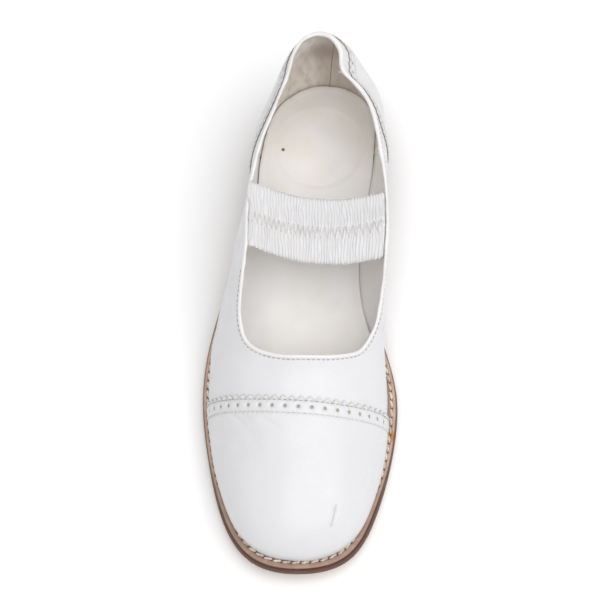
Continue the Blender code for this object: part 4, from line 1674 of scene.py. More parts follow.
@dataclass(frozen=True)
class Overlay:
    """How a cut piece of leather lies on the skin."""

    under: float
    over: float
    rounding: float = 0.4
    groove: float = 0.28
    groove_width: float = 0.7

    TURNED: ClassVar[float] = 0.55              # share of its thickness lost at a rounded edge
    HOLE: ClassVar[float] = 0.35                # depth and width of a needle hole
    HOLE_WIDTH: ClassVar[float] = 0.45
    # Painted shade along the cut edges, in the stitch lines and in the needle holes: how dark, and how far
    # from them it reaches; along the scratches it also stands for their own grey.
    EDGE_SHADE: ClassVar[tuple[float, float]] = (0.30, 0.35)
    LINE_SHADE: ClassVar[tuple[float, float]] = (0.04, 0.6)
    HOLE_SHADE: ClassVar[tuple[float, float]] = (0.45, 0.4)

    @staticmethod
    def dirt_and_shade(gap: Array, darkening: tuple[float, float]) -> Array:
        """How dark places are painted at a gap from an edge, a line or a hole, with a depth and a width of
        the darkening: painted shade, and a scratch's own grey.
        """
        return darkening[0] * bell(gap, darkening[1])

    def lay(self, stock: Stock, chart: FlatChart, cut: Cutting, grooves: Sequence[Array] = (),
            holes: Sequence[Array] = (), no_wall: Optional[Array] = None) -> None:
        """Adds the piece, its edges rounded and its stitch lines pressed in, with painted shade along its
        edges, stitch lines and needle holes, and its holes closed below by dark faces of painted shade.

        Args:
            stock: The piece that it is added to; its slot 1 is the cut edge.
            chart: The map that it was cut on.
            cut: The cutting.
            grooves: Lines of stitches.
            holes: Points of needle holes and of scratches.
            no_wall: True for each outline point on a line where the piece joins its own other end.
        """
        thick = self.over - self.under
        over = self.over - self.TURNED * thick * bell(cut.from_edge, self.rounding)
        mark = self.dirt_and_shade(cut.from_edge, self.EDGE_SHADE)
        if len(grooves):
            gap = distances(covering(grooves), cut.places)
            over = over - self.groove * bell(gap, self.groove_width)
            mark = mark + self.dirt_and_shade(gap, self.LINE_SHADE)
        if len(holes):
            gap = distances(covering(holes), cut.places)
            over = over - self.HOLE * bell(gap, self.HOLE_WIDTH)
            mark = mark + self.dirt_and_shade(gap, self.HOLE_SHADE)
        top = stock.add(chart.bend(cut.places, over), cut.faces, 0, np.clip(mark, 0.0, 1.0))
        # Its lower face is half dark, so the feet of its cut edges and the bottoms of its holes carry painted
        # shade.
        low = stock.add(chart.bend(cut.places, self.under), cut.faces[:, ::-1], 1, 0.5)
        for number, loop in enumerate(cut.loops):
            ring = np.array(loop)
            walls = ring_walls(ring + top, ring + low)
            if number == 0 and no_wall is not None:
                walls = walls[~(no_wall & np.roll(no_wall, -1))]
            stock.join(walls, 1)
            # Each hole is closed at its foot by a face of the dark cut-edge finish: painted shade where the
            # hole shows the leather beneath.
            if number > 0:
                stock.join([(ring + low).tolist()], 1)


# ---- The upper ------------------------------------------------------------------------------
@dataclass(frozen=True)
class Vamp:
    """Vamp and quarters: the white leather from under the toe cap back round the heel."""

    skin: Skin = SKIN
    front: float = 198.0
    thickness: float = 1.0
    pitch: float = 1.5

    FREE: ClassVar[int] = 0         # kinds of edge: hidden under other leather,
    FOLD: ClassVar[int] = 1         # along the ridge, where both halves meet,
    TOP: ClassVar[int] = 2          # and the topline

    def outline(self) -> tuple[Array, Array]:
        """Its outline on the wall's map.

        Returns:
            The outline's points and their kinds of edge.
        """
        skin = self.skin
        end = float(skin.last.side_v(self.front, True))
        throat = float(skin.tops[0, 0])
        foot = np.arange(-end, end, 1.2)
        ridge = np.linspace(end, throat, 28)
        rise = np.linspace(0.0, 1.0, 40)[:-1]
        full = skin.full_girth(np.array([end, -end]))
        tops = skin.tops[1:-1]
        top_girth = skin.look_up(skin.girth, tops[:, 0], tops[:, 1])
        parts = [
            np.stack([foot, np.zeros_like(foot)], axis=1),
            np.stack([np.full_like(rise, end), rise * full[0]], axis=1),
            np.stack([ridge, skin.full_girth(ridge)], axis=1),
            np.stack([tops[:, 0], top_girth], axis=1),
            np.stack([-ridge[::-1], skin.full_girth(-ridge[::-1])], axis=1),
            np.stack([np.full_like(rise, -end), (1.0 - rise) * full[1]], axis=1)[1:]]
        kinds = [self.FREE, self.FREE, self.FOLD, self.TOP, self.FOLD, self.FREE]
        return np.vstack(parts), np.repeat(kinds, [len(part) for part in parts])

    def build(self) -> Made:
        """Builds the leather."""
        outline, kind = self.outline()
        cut = Cutting(outline, self.pitch, open_edge=kind != self.TOP)
        stock = Stock()
        overlay = Overlay(-self.thickness, 0.0, rounding=0.8)
        overlay.lay(stock, WALL_CHART, cut, no_wall=kind == self.FOLD)
        return [stock.piece("vamp_and_quarters", [WHITE, RAW_EDGE], "upper")]


def topline_frames(skin: Skin) -> tuple[Array, Array, Array]:
    """Directions along the topline.

    Args:
        skin: The upper's outer surface.

    Returns:
        At each of the topline's points: out of the leather, along the edge, and up over it.
    """
    v, t = skin.tops.T
    places = skin.at(v, t, 0.0)
    along = np.roll(places[:-1], -1, axis=0) - np.roll(places[:-1], 1, axis=0)
    along = unit(np.vstack([along, along[:1]]))
    normal = skin.look_up(skin.normals, v, t)
    normal = unit(normal - along * np.sum(normal * along, axis=1, keepdims=True))
    over = np.cross(normal, along)
    below = skin.at(v, np.clip(t - 0.02, 0.0, 1.0), 0.0)
    if np.sum(over * (places - below)) < 0.0:
        over = -over
    return normal, along, over


@dataclass(frozen=True)
class Rim:
    """The topline's folded edge: a narrow glossy bead of leather turned over the upper's edge."""

    skin: Skin = SKIN
    medial: float = 0.30            # the bead is wider by these shares on the medial side
    back: float = 0.25              # and at the back,
    even_from: float = 60.0         # and narrows again from this v forward

    # Outline of the bead as (up over the edge, out of the leather).
    PROFILE: ClassVar[Array] = np.array([
        (-1.22, -0.12), (-1.30, 0.05), (-1.12, 0.18), (-0.75, 0.24), (-0.28, 0.18), (0.12, -0.02),
        (0.36, -0.35), (0.44, -0.70), (0.34, -1.05), (0.06, -1.32), (-0.60, -1.46),
        (-1.60, -1.55), (-2.45, -1.66), (-2.60, -1.50), (-2.45, -1.25), (-0.95, -1.10),
        (-0.80, -0.30)])

    def build(self) -> Made:
        """Sweeps the bead round the topline."""
        skin = self.skin
        normal, _, over = topline_frames(skin)
        places = skin.at(skin.tops[:, 0], skin.tops[:, 1], 0.0)
        v = skin.tops[:-1, 0]
        wide = 1.0 + 0.14 * ripples(places, 9.0, 5)[:-1] + self.medial * smooth_step((v + 10.0) / 20.0)
        wide += self.back * bell(v, 16.0)
        wide -= self.medial * smooth_step((v - self.even_from) / 40.0)
        rings = places[:-1, None] + over[:-1, None] * self.PROFILE[:, :1] + normal[:-1, None] * (
            self.PROFILE[:, 1:] * wide[:, None, None])
        count, corners = rings.shape[:2]
        faces = np.vstack([grid_faces(count, corners, closed=True), self._closing(count, corners)])
        # Painted shade in the joins along the bead's lower edges, stronger at the back, where dirt adds to
        # it.
        edges = np.where(self.PROFILE[:, 0] < -1.15, 1.0, 0.0)
        worn = 0.15 + 0.45 * (1.0 - smooth_step((np.abs(v) - 40.0) / 30.0))
        shade = (worn[:, None] * edges).ravel()
        stock = Stock()
        stock.add(rings.reshape(-1, 3), faces, 0, shade)
        return [stock.piece("topline_rim", [RIM_WHITE], "upper")]

    @staticmethod
    def _closing(count: int, corners: int) -> Array:
        """Faces between the last and the first corner of the bead's sections.

        Args:
            count: How many sections.
            corners: Corners of a section.

        Returns:
            The faces' corner numbers.
        """
        near = np.arange(count) * corners
        far = (np.arange(count) + 1) % count * corners
        return np.stack([near + corners - 1, far + corners - 1, far, near], axis=1)


@dataclass(frozen=True)
class Stitches:
    """The fine stitches beside the rim, as far back as they can be made out on each side."""

    skin: Skin = SKIN
    inset: float = 1.78             # below the topline
    behind: float = 47.0            # s of the rearmost stitch on the medial side
    behind_lateral: float = 122.0   # and on the lateral one
    stitching: Stitching = Stitching(2.4, 1.75, 0.36)

    def build(self) -> Made:
        """Lays the stitches on the leather below the rim, back to behind on the medial side and to
        behind_lateral on the lateral one.
        """
        skin = self.skin
        normal, _, over = topline_frames(skin)
        line = skin.at(skin.tops[:, 0], skin.tops[:, 1], 0.0) - over * self.inset
        along = lengths_along(line)
        count = int(along[-1] / self.stitching.pitch)
        start = np.arange(count) * along[-1] / count
        want = start[:, None] + Stitching.SHARE * self.stitching.length
        path = at_lengths(want.ravel(), along, line).reshape(count, -1, 3)
        behind = np.where(path[:, :, 1].mean(axis=1) < 0.0, self.behind_lateral, self.behind)
        free = path[:, :, 0].min(axis=1) > behind
        path = path[free].reshape(-1, 3)
        ups = at_lengths(want[free].ravel(), along, normal)
        surface = BVHTree.FromPolygons(skin.net.reshape(-1, 3).tolist(),
                                       grid_faces(skin.count, skin.ROWS, closed=True).tolist())
        rise = np.tile(Stitching.RISE * self.stitching.thickness / 2.0, int(free.sum()))
        for i, place in enumerate(path):
            found = surface.find_nearest(Vector(place), 6.0)
            if found[0] is not None:
                path[i] = np.array(found[0]) + ups[i] * rise[i]
        stock = Stock()
        self.stitching.thread(stock, path, ups)
        return [stock.piece("topline_stitches", [FINE_THREAD], "upper", weld=False)]


@dataclass(frozen=True)
class Lining:
    """The upper's linings: pale leather all round, and a suede piece over it at the heel."""

    skin: Skin = SKIN
    outer: float = -1.15            # lifts of the lining's faces, and of the suede's inner one
    inner: float = -2.0
    suede: float = -2.4
    suede_front: float = 44.0
    skived_over: float = 9.0        # both are pared thin over this much below their upper edges

    def columns(self) -> Array:
        """Places round the shoe, close together where the topline runs across them."""
        skin = self.skin
        side = skin.tops[0, 0]
        back = skin.tops[::3, 0]
        toe = np.linspace(side, skin.last.half_round, 44)
        return np.unique(np.round(np.concatenate([back, toe, -toe[:-1]]), 3))

    def top_t(self, v: Array, below: float) -> Array:
        """t of the lining's upper edge.

        Args:
            v: Places round the shoe.
            below: How far the edge lies below the topline.

        Returns:
            t at each place; the ridge's ahead of the throat.
        """
        skin = self.skin
        order = np.argsort(skin.tops[:, 0])
        t = np.interp(v, skin.tops[order, 0], skin.tops[order, 1], left=1.0, right=1.0)
        girth = skin.look_up(skin.girth, v, t)
        free = np.abs(v) < skin.tops[0, 0]
        return skin.t_at_girth(v, np.where(free, girth - below, girth))

    def sheet(self, stock: Stock, v: Array, top: Array, rows: int,
              lifts: tuple[tuple[float, float], tuple[float, float]], closed: bool) -> None:
        """Adds one lining.

        Args:
            stock: The piece that it is added to.
            v: Places of its columns round the shoe, one row for each of its rows.
            top: t of its upper edge in each column.
            rows: Rows of corners from bottom to top.
            lifts: Lifts of its outer and inner faces, each below and at its skived upper edge.
            closed: Whether it runs all the way round.
        """
        skin = self.skin
        count = v.shape[0]
        base = skin.t_at_girth(v[:, 0], np.full(count, 0.6))
        share = np.linspace(0.0, 1.0, rows)
        t = base[:, None] * (1.0 - share) + top[:, None] * share
        girth = skin.look_up(skin.girth, v.ravel(), t.ravel()).reshape(v.shape)
        skived = bell(girth[:, -1:] - girth, self.skived_over)
        skived *= (np.abs(v[:, :1]) < skin.tops[0, 0] + 8.0)
        layers = [skin.at(v.ravel(), t.ravel(), (low * (1.0 - skived) + high * skived).ravel())
                  for low, high in lifts]
        faces = grid_faces(count, rows, closed)
        # Painted shade: each lining darkens over its lowest tenth, in the corner where it meets the sock.
        mark = np.tile(np.clip((0.10 - share) / 0.10, 0.0, 1.0) * 0.45, count)
        first = stock.add(layers[0], faces, 0, mark)
        second = stock.add(layers[1], faces[:, ::-1], 0, mark)
        border = [np.arange(count) * rows, np.arange(count) * rows + rows - 1]
        if closed:
            border = [np.append(line, line[0]) for line in border]
            free = np.abs(v[:, 0]) <= skin.tops[0, 0]
            free = np.append(free, free[0])
            walls = [self._wall(line, first, second) for line in border]
            walls[1] = walls[1][free[:-1] & free[1:]]
        else:
            ends = [np.arange(rows), (count - 1) * rows + np.arange(rows)]
            walls = [self._wall(line, first, second) for line in [*border, *ends]]
        stock.join(np.vstack(walls))

    @staticmethod
    def _wall(line: Array, first: int, second: int) -> Array:
        """Faces that join a border's corners, line, in two layers that start at first and second."""
        low, high = line + first, line + second
        return np.stack([low[:-1], low[1:], high[1:], high[:-1]], axis=1)

    def build(self) -> Made:
        """Builds both linings."""
        v = self.columns()
        rows = 26
        stock = Stock()
        self.sheet(stock, np.repeat(v[:, None], rows, axis=1), self.top_t(v, 1.2), rows,
                   ((self.outer, -1.02), (self.inner, -1.12)), True)
        pale = stock.piece("lining", [LINING], "upper")
        end = float(self.skin.last.side_v(self.suede_front, True))
        v = np.linspace(-end, end, 110)
        rows = 40
        share = np.linspace(0.0, 1.0, rows)
        fray = 1.2 * np.sin(share * 9.0) + 0.5 * np.sin(share * 31.0 + 1.0)
        wavy = v[:, None] + (v / end)[:, None] ** 5 * fray
        stock = Stock()
        self.sheet(stock, wavy, self.top_t(v, 1.9), rows,
                   ((self.inner, -1.13), (self.suede, -1.28)), False)
        suede = stock.piece("heel_lining", [TAUPE], "upper")
        return [pale, suede]


@dataclass(frozen=True)
class Broguing:
    """The worked edge that the toe cap and the heel counter share."""

    tooth: float
    depth: float
    first_row: float = 1.7
    perforations: float = 4.5
    second_row: float = 7.8
    spacing: float = 6.2
    radius: float = 0.70
    stitching: Stitching = Stitching(2.5, 1.5, 0.42)

    RING: ClassVar[float] = 1.55    # guide points stand round a hole at this many of its radii

    @property
    def rows(self) -> tuple[float, float]:
        """Distances of both rows of stitches from the edge."""
        return self.first_row, self.second_row

    def holes(self, seam: Seam, margin: float) -> list[Array]:
        """The perforations.

        Args:
            seam: The edge that they stand beside.
            margin: Distance of the first and the last one from the seam's ends.

        Returns:
            The outline of each on the seam's map.
        """
        run = seam.total - margin - margin
        count = int(round(run / self.spacing))
        along = np.linspace(margin, seam.total - margin, count + 1)
        return [seam.disc(float(a), self.perforations, self.radius) for a in along]

    def grooves(self, seam: Seam) -> list[Array]:
        """Both stitch lines."""
        along = np.arange(0.0, seam.total, 0.7)
        return [seam.spot(along, beside) for beside in self.rows]

    def rings(self, holes: Sequence[Array]) -> list[Array]:
        """Guide points just outside each perforation."""
        return [hole.mean(axis=0) + (hole - hole.mean(axis=0)) * self.RING for hole in holes]


@dataclass(frozen=True)
class Brogued:
    """A piece of leather over the upper, one edge of which is pinked, perforated and stitched."""

    node: str
    chart: FlatChart
    finishes: tuple[Finish, Finish]
    threads: tuple[Finish, ...]
    pitch: float
    overlay: Overlay
    brogue: Broguing
    margin: float
    spare: int

    STEP: ClassVar[float] = 0.33    # between the points of the outline
    FOOT: ClassVar[float] = 0.3     # height of the lower edge above the feather

    def seam(self) -> Seam:
        """The line of the worked edge."""
        raise NotImplementedError

    def foot(self, start: Array, end: Array) -> Array:
        """The rest of the outline, from the worked edge's last point to its first one."""
        raise NotImplementedError

    def scratches(self) -> list[Array]:
        """Scratches in the leather."""
        return []

    def build(self) -> Made:
        """Builds the leather and its stitches."""
        seam, brogue = self.seam(), self.brogue
        teeth = seam.pinked(brogue.tooth, brogue.depth)
        outline = resampled(np.vstack([teeth, self.foot(teeth[-1], teeth[0])]), self.STEP)
        outline = outline[:len(outline) - self.spare]
        open_edge = np.arange(len(outline)) * self.STEP > lengths_along(teeth)[-1]
        grooves, holes, scratches = brogue.grooves(seam), brogue.holes(seam, self.margin), self.scratches()
        needle = [brogue.stitching.needle_holes(seam, row) for row in brogue.rows]
        guides = grooves + brogue.rings(holes) + scratches
        stock = Stock()
        self.overlay.lay(stock, self.chart, Cutting(outline, self.pitch, holes, guides, open_edge),
                         grooves, needle + scratches)
        leather = stock.piece(self.node + "_leather", self.finishes, self.node)
        stock = Stock()
        for number, row in enumerate(brogue.rows):
            brogue.stitching.sew(stock, seam, row, self.overlay.over - self.overlay.groove,
                                 min(number, len(self.threads) - 1))
        return [leather, stock.piece(self.node + "_stitches", self.threads, self.node, weld=False)]


@dataclass(frozen=True)
class ToeCap(Brogued):
    """The toe cap with its pinked, stitched and perforated rear edge."""

    node: str = "toe_cap"
    chart: FlatChart = TOE_CHART
    finishes: tuple[Finish, Finish] = (CAP_WHITE, RAW_EDGE)
    threads: tuple[Finish, ...] = (FINE_THREAD, PALE_THREAD)
    pitch: float = 1.05
    overlay: Overlay = Overlay(0.08, 1.3, groove=0.18)
    brogue: Broguing = Broguing(4.3, 1.8)
    margin: float = 6.0
    spare: int = 0
    line: float = 183.6
    line_x: float = 9.0
    sweep: float = 6.7
    reach: float = 56.6

    SCRATCHES: ClassVar[tuple[tuple[tuple[float, float], ...], ...]] = (
        ((19.5, 17.3), (23.5, 16.6), (26.5, 15.8), (28.8, 14.9)),)

    def seam(self) -> Seam:
        """The cap's rear edge on the toe's map, from the medial feather to the lateral one."""
        last = SKIN.last
        across = np.linspace(62.0, -72.0, 269)
        ahead = np.full_like(across, self.line - last.toe_centre)
        for _ in range(5):
            x = TOE_CHART.bend(np.stack([ahead, across], axis=1), 0.0)[:, 1]
            ahead = self.line - self.sweep * ((x - self.line_x) / self.reach) ** 2 - last.toe_centre
        side = np.where(across > 0, 1.0, -1.0)
        full = SKIN.full_girth(last.side_v(ahead + last.toe_centre, True) * side)
        return Seam(TOE_CHART, np.stack([ahead, across], axis=1)[np.abs(across) < full - self.FOOT])

    def foot(self, start: Array, end: Array) -> Array:
        """The cap's lower edge on the toe's map.

        Args:
            start: The worked edge's lateral end.
            end: Its medial end.

        Returns:
            Points from the lateral end round the toe to the medial end.
        """
        last = SKIN.last
        tip = last.half_round - 0.01
        v = np.concatenate([-np.linspace(last.side_v(start[0] + last.toe_centre, True), tip, 90),
                            np.linspace(tip, last.side_v(end[0] + last.toe_centre, True), 90)])
        return last.on_toe(v, SKIN.full_girth(v) - self.FOOT)[1:-1]

    def scratches(self) -> list[Array]:
        """Points along the scratches on the cap."""
        return [resampled(np.array(line), 0.3) for line in self.SCRATCHES]


@dataclass(frozen=True)
class HeelCounter(Brogued):
    """The heel counter, worked along its upper edge like the toe cap."""

    node: str = "heel_counter"
    chart: FlatChart = WALL_CHART
    finishes: tuple[Finish, Finish] = (COUNTER_WHITE, WORN_EDGE)
    threads: tuple[Finish, ...] = (PALE_THREAD,)
    pitch: float = 1.15
    overlay: Overlay = Overlay(0.05, 0.95)
    brogue: Broguing = Broguing(3.7, 1.3, 1.6, 3.5, 5.9, 4.7, 0.6, Stitching(2.2, 1.5, 0.34))
    margin: float = 9.0
    spare: int = 1

    def seam(self) -> Seam:
        """The counter's upper edge on the wall's map, from the lateral feather to the medial one."""
        last = SKIN.last
        edge = Spline(COUNTER_EDGE[:, 0], COUNTER_EDGE[:, 1])
        t = np.linspace(0.0, 1.0, SKIN.ROWS)
        fan = np.linspace(0.0, last.heel_turn, 60)[:-1]
        side = np.linspace(last.heel_centre, COUNTER_EDGE[-1, 0], 240)
        side = side[edge(side) > last.levels.feather(side) + 0.2]
        half = {}
        for sign in (-1.0, 1.0):
            places = []
            for v in fan * sign:
                column = SKIN.at(np.full(len(t), v), t, 0.0)
                over = column[:, 2] - COUNTER_TILT * column[:, 1] - edge(column[:, 0])
                k = int(np.argmax(over > 0.0))
                share = over[k - 1] / (over[k - 1] - over[k])
                places.append((v, t[k - 1] + share * (t[1] - t[0])))
            for s in side:
                v = float(last.side_v(s, sign > 0.0))
                column = SKIN.at(np.full(len(t), v), t, 0.0)
                level = column[:, 2] - COUNTER_TILT * column[:, 1]
                places.append((v, float(np.interp(edge(s), level, t))))
            half[sign] = np.array(places)
        line = np.vstack([half[-1.0][::-1], half[1.0][1:]])
        girth = SKIN.look_up(SKIN.girth, line[:, 0], line[:, 1])
        return Seam(WALL_CHART, np.stack([line[:, 0], girth], axis=1))

    def foot(self, start: Array, end: Array) -> Array:
        """The counter's lower edge, back from the worked edge's end to its start."""
        floor = np.linspace(start[0], end[0], 200)
        return np.stack([floor, np.full_like(floor, self.FOOT)], axis=1)


@dataclass(frozen=True)
class Strap:
    """The gathered strap over the instep, its elastic held by one zigzag row."""

    back: float = 82.1              # mean s of its two rear corners
    width: float = 32.4
    skew: float = 5.5               # its medial end lies so much further forward
    tuck: float = 4.0               # depth of its ends below the topline
    bow: float = 5.3                # its middle curves so far forward
    sag: float = 3.0                # and hangs so far down
    # How far inside the wall it goes down, at the rear and front edges, and once it is tucked in.
    hang_lateral: tuple[float, float] = (0.7, 2.5)
    hang_medial: float = 2.7
    tucked: float = 3.6
    lap: float = 1.2                # the rear of its lateral end rides up so far on the topline
    thickness: float = 1.9
    rib: float = 1.5                # width of a gather
    rib_height: float = 0.56
    visible: float = 0.84           # share of it that isn't tucked in
    zigzag: float = 4.9
    zigzag_at: float = 0.535        # the zigzag's middle, as a share of the width
    zigzag_pitch_lateral: float = 2.4
    zigzag_pitch_medial: float = 3.5
    zigzag_reach: float = 0.82      # share of the strap's length that it covers
    span: float = 78.0              # length of the flat strap that the gathers are laid out on
    columns: int = 440
    rows: int = 34

    def smooth(self, along: Array, across: Array) -> Array:
        """(s, x, z) of the middle of the strap before it is gathered.

        Args:
            along: -1 at the lateral end to 1 at the medial end.
            across: 0 at the rear edge to 1 at the front edge.

        Returns:
            One place for each pair.
        """
        order = np.argsort(SKIN.tops[:, 0])
        ends = []
        for side in (-1.0, 1.0):
            s = self.back + self.skew * side / 2.0 + across * self.width
            v = SKIN.last.side_v(s, side > 0.0)
            t = np.interp(v, SKIN.tops[order, 0], SKIN.tops[order, 1])
            deep = self.tuck * np.maximum(along * side - self.visible, 0.0) / (1.0 - self.visible)
            t = SKIN.t_at_girth(v, SKIN.look_up(SKIN.girth, v, t) - deep)
            rear, front = self.hang_lateral if side < 0.0 else (self.hang_medial, self.hang_medial)
            hang = rear + (front - rear) * smooth_step(across / 0.55)
            dip = smooth_step(deep / 2.5)
            hang = hang + (self.tucked - hang) * dip
            lap = self.lap * (1.0 - smooth_step(across / 0.55)) * (1.0 - dip) * (side < 0.0)
            ends.append(SKIN.at(v, t, 0.0) + np.column_stack([np.zeros_like(hang), -side * hang, lap]))
        share = np.clip((along / self.visible + 1.0) / 2.0, 0.0, 1.0)[:, None]
        middle = (1.0 - share) * ends[0] + share * ends[1]
        curve = (4.0 * share * (1.0 - share))[:, 0]
        middle[:, 0] += self.bow * curve
        middle[:, 2] -= self.sag * curve
        return middle

    def gathers(self, along: Array, across: Array) -> Array:
        """Height of the gathers.

        Args:
            along: Places along the strap.
            across: Places across it.

        Returns:
            0 in a valley to about 1 on a rib.
        """
        flat = np.stack([along * self.span / 2.0, across * self.width * 0.35], axis=1)
        wander = 0.50 * ripples(flat, 9.0, 21) + 0.26 * ripples(flat, 3.4, 22)
        phase = math.pi * (flat[:, 0] + wander) / self.rib
        size = np.clip(0.75 + 0.34 * ripples(flat, 5.0, 23), 0.25, 1.15)
        return np.abs(np.cos(phase)) ** 0.75 * size

    def surface(self, along: Array, across: Array, lift: float | Array) -> Array:
        """(s, x, z) on the gathered leather.

        Args:
            along: Places along the strap.
            across: Places across it.
            lift: Height above its middle, in half thicknesses.

        Returns:
            The places.
        """
        tiny = 1e-3
        middle = self.smooth(along, across)
        one = (self.smooth(np.clip(along + tiny, -1, 1), across)
               - self.smooth(np.clip(along - tiny, -1, 1), across))
        two = self.smooth(along, across + tiny) - self.smooth(along, across - tiny)
        normal = unit(np.cross(two, one))
        normal *= np.where(normal[:, 2:] < 0.0, -1.0, 1.0)
        rib = self.gathers(along, across)
        hem = np.minimum(across, 1.0 - across) * self.width
        held = 0.45 * bell(np.abs(across - self.zigzag_at) * self.width - self.zigzag / 2.0, 1.1)
        height = lift * self.thickness / 2.0 + (rib - 0.5) * self.rib_height * (1.0 - held) - 0.35 * held
        scallop = (rib - 0.5) * 0.45 * bell(hem, 1.6) * np.where(across < 0.5, -1.0, 1.0)
        return middle + normal * height[:, None] + unit(two) * scallop[:, None]

    def build(self) -> Made:
        """Builds the gathered leather and the zigzag."""
        half = self.zigzag / self.width / 2.0
        near = np.linspace(-0.9, 0.9, 5) / self.width
        lines = np.unique(np.concatenate([np.linspace(0.0, 1.0, self.rows),
                                          self.zigzag_at - half + near, self.zigzag_at + half + near]))
        along, across = np.meshgrid(np.linspace(-1.0, 1.0, self.columns), lines, indexing="ij")
        along, across = along.ravel(), across.ravel()
        hem = np.minimum(across, 1.0 - across) * self.width
        full = np.sqrt(np.clip(1.0 - (1.0 - np.clip(hem / 1.4, 0.0, 1.0)) ** 2, 0.0, 1.0)) * 0.9 + 0.1
        columns, rows = self.columns, len(lines)
        faces = grid_faces(columns, rows)
        rib = self.gathers(along, across)
        stock = Stock()
        needle = np.stack(self.needle_holes(), axis=1) * [self.span / 2.0, self.width]
        flat = np.stack([along * self.span / 2.0, across * self.width], axis=1)
        hole = distances(covering([needle]), flat)
        # Painted shade in the valleys between the gathers and in the zigzag's needle holes.
        mark = np.clip(0.30 - rib * 0.5, 0.0, 0.3) + 0.80 * bell(hole, 0.42)
        top = stock.add(self.surface(along, across, full), faces, 0, mark)
        # The underside is painted a little dark: painted shade under the strap.
        low = stock.add(self.surface(along, across, -full), faces[:, ::-1], 0, 0.3)
        border = np.concatenate([np.arange(rows), np.arange(1, columns) * rows + rows - 1,
                                 (columns - 1) * rows + np.arange(rows - 1)[::-1],
                                 np.arange(1, columns - 1)[::-1] * rows])
        stock.join(ring_walls(border + top, border + low))
        strap = stock.piece("gathered_strap", [STRAP_WHITE], "instep_strap")
        return [strap, self.zigzag_row()]

    def needle_holes(self) -> tuple[Array, Array]:
        """Places of the zigzag's corners, along and across the strap."""
        places = [-self.zigzag_reach * self.span / 2.0]
        while places[-1] < self.zigzag_reach * self.span / 2.0:
            pitch = self.zigzag_pitch_lateral if places[-1] < 0.0 else self.zigzag_pitch_medial
            places.append(places[-1] + pitch / 2.0)
        along = np.array(places) / (self.span / 2.0)
        turns = np.where(np.arange(len(along)) % 2 == 0, 0.5, -0.5)
        return along, self.zigzag_at + turns * self.zigzag / self.width

    def zigzag_row(self) -> bpy.types.Object:
        """Sews the zigzag along the middle."""
        along, across = self.needle_holes()
        share = np.linspace(0.0, 1.0, 7)
        rise = np.array([-0.30, 0.12, 0.20, 0.22, 0.20, 0.12, -0.30])
        a = along[:-1, None] * (1.0 - share) + along[1:, None] * share
        b = across[:-1, None] * (1.0 - share) + across[1:, None] * share
        points = self.surface(a.ravel(), b.ravel(), 1.0)
        ups = np.tile([0.0, 0.0, 1.0], (len(points), 1))
        points = points + ups * np.tile(rise, len(a))[:, None]
        stock = Stock()
        half = np.array([0.12, 0.17, 0.17, 0.17, 0.17, 0.17, 0.12])
        shape = (len(a), len(share), 3)
        tubes(stock, points.reshape(shape), ups.reshape(shape), half, half * 0.8)
        return stock.piece("strap_zigzag", [STRAP_THREAD], "instep_strap", weld=False)


# ---- The bottom -----------------------------------------------------------------------------
def slab(stock: Stock, outline: Callable[[float, float], Array], rings: Sequence[tuple[float, float]],
         under: Heights, over: Heights, pitch: float, slots: tuple[int, int, int] = (0, 0, 0),
         marks: Optional[Heights] = None) -> None:
    """Adds a flat piece with a shaped edge.

    Args:
        stock: The piece that it is added to.
        outline: Gives its outline in plan at an inset and a share of the height.
        rings: Inset and share of the height at each step of the edge, from below to above.
        under: Height of its lower face at places and their distances from the edge.
        over: Height of its upper face.
        pitch: Size of the triangles of its faces.
        slots: Finishes of the lower face, the edge and the upper face.
        marks: How dark the upper face is: dirt and painted shade.
    """
    ends = []
    for ring, face, slot in ((rings[0], under, slots[0]), (rings[-1], over, slots[2])):
        cut = Cutting(outline(*ring), pitch)
        places = np.column_stack([cut.places, face(cut.places, cut.from_edge)])
        mark = marks(cut.places, cut.from_edge) if marks and face is over else 0.0
        start = stock.add(places, cut.faces, slot, mark)
        ends.append(np.array(cut.loops[0]) + start)
    before = ends[0]
    for inset, share in rings[1:-1]:
        loop = outline(inset, share)
        edge = np.zeros(len(loop))
        z = under(loop, edge) * (1.0 - share) + over(loop, edge) * share
        ring = np.arange(len(loop)) + stock.add(np.column_stack([loop, z]), np.empty((0, 4), int))
        stock.join(ring_walls(before, ring), slots[1])
        before = ring
    stock.join(ring_walls(before, ends[1]), slots[1])


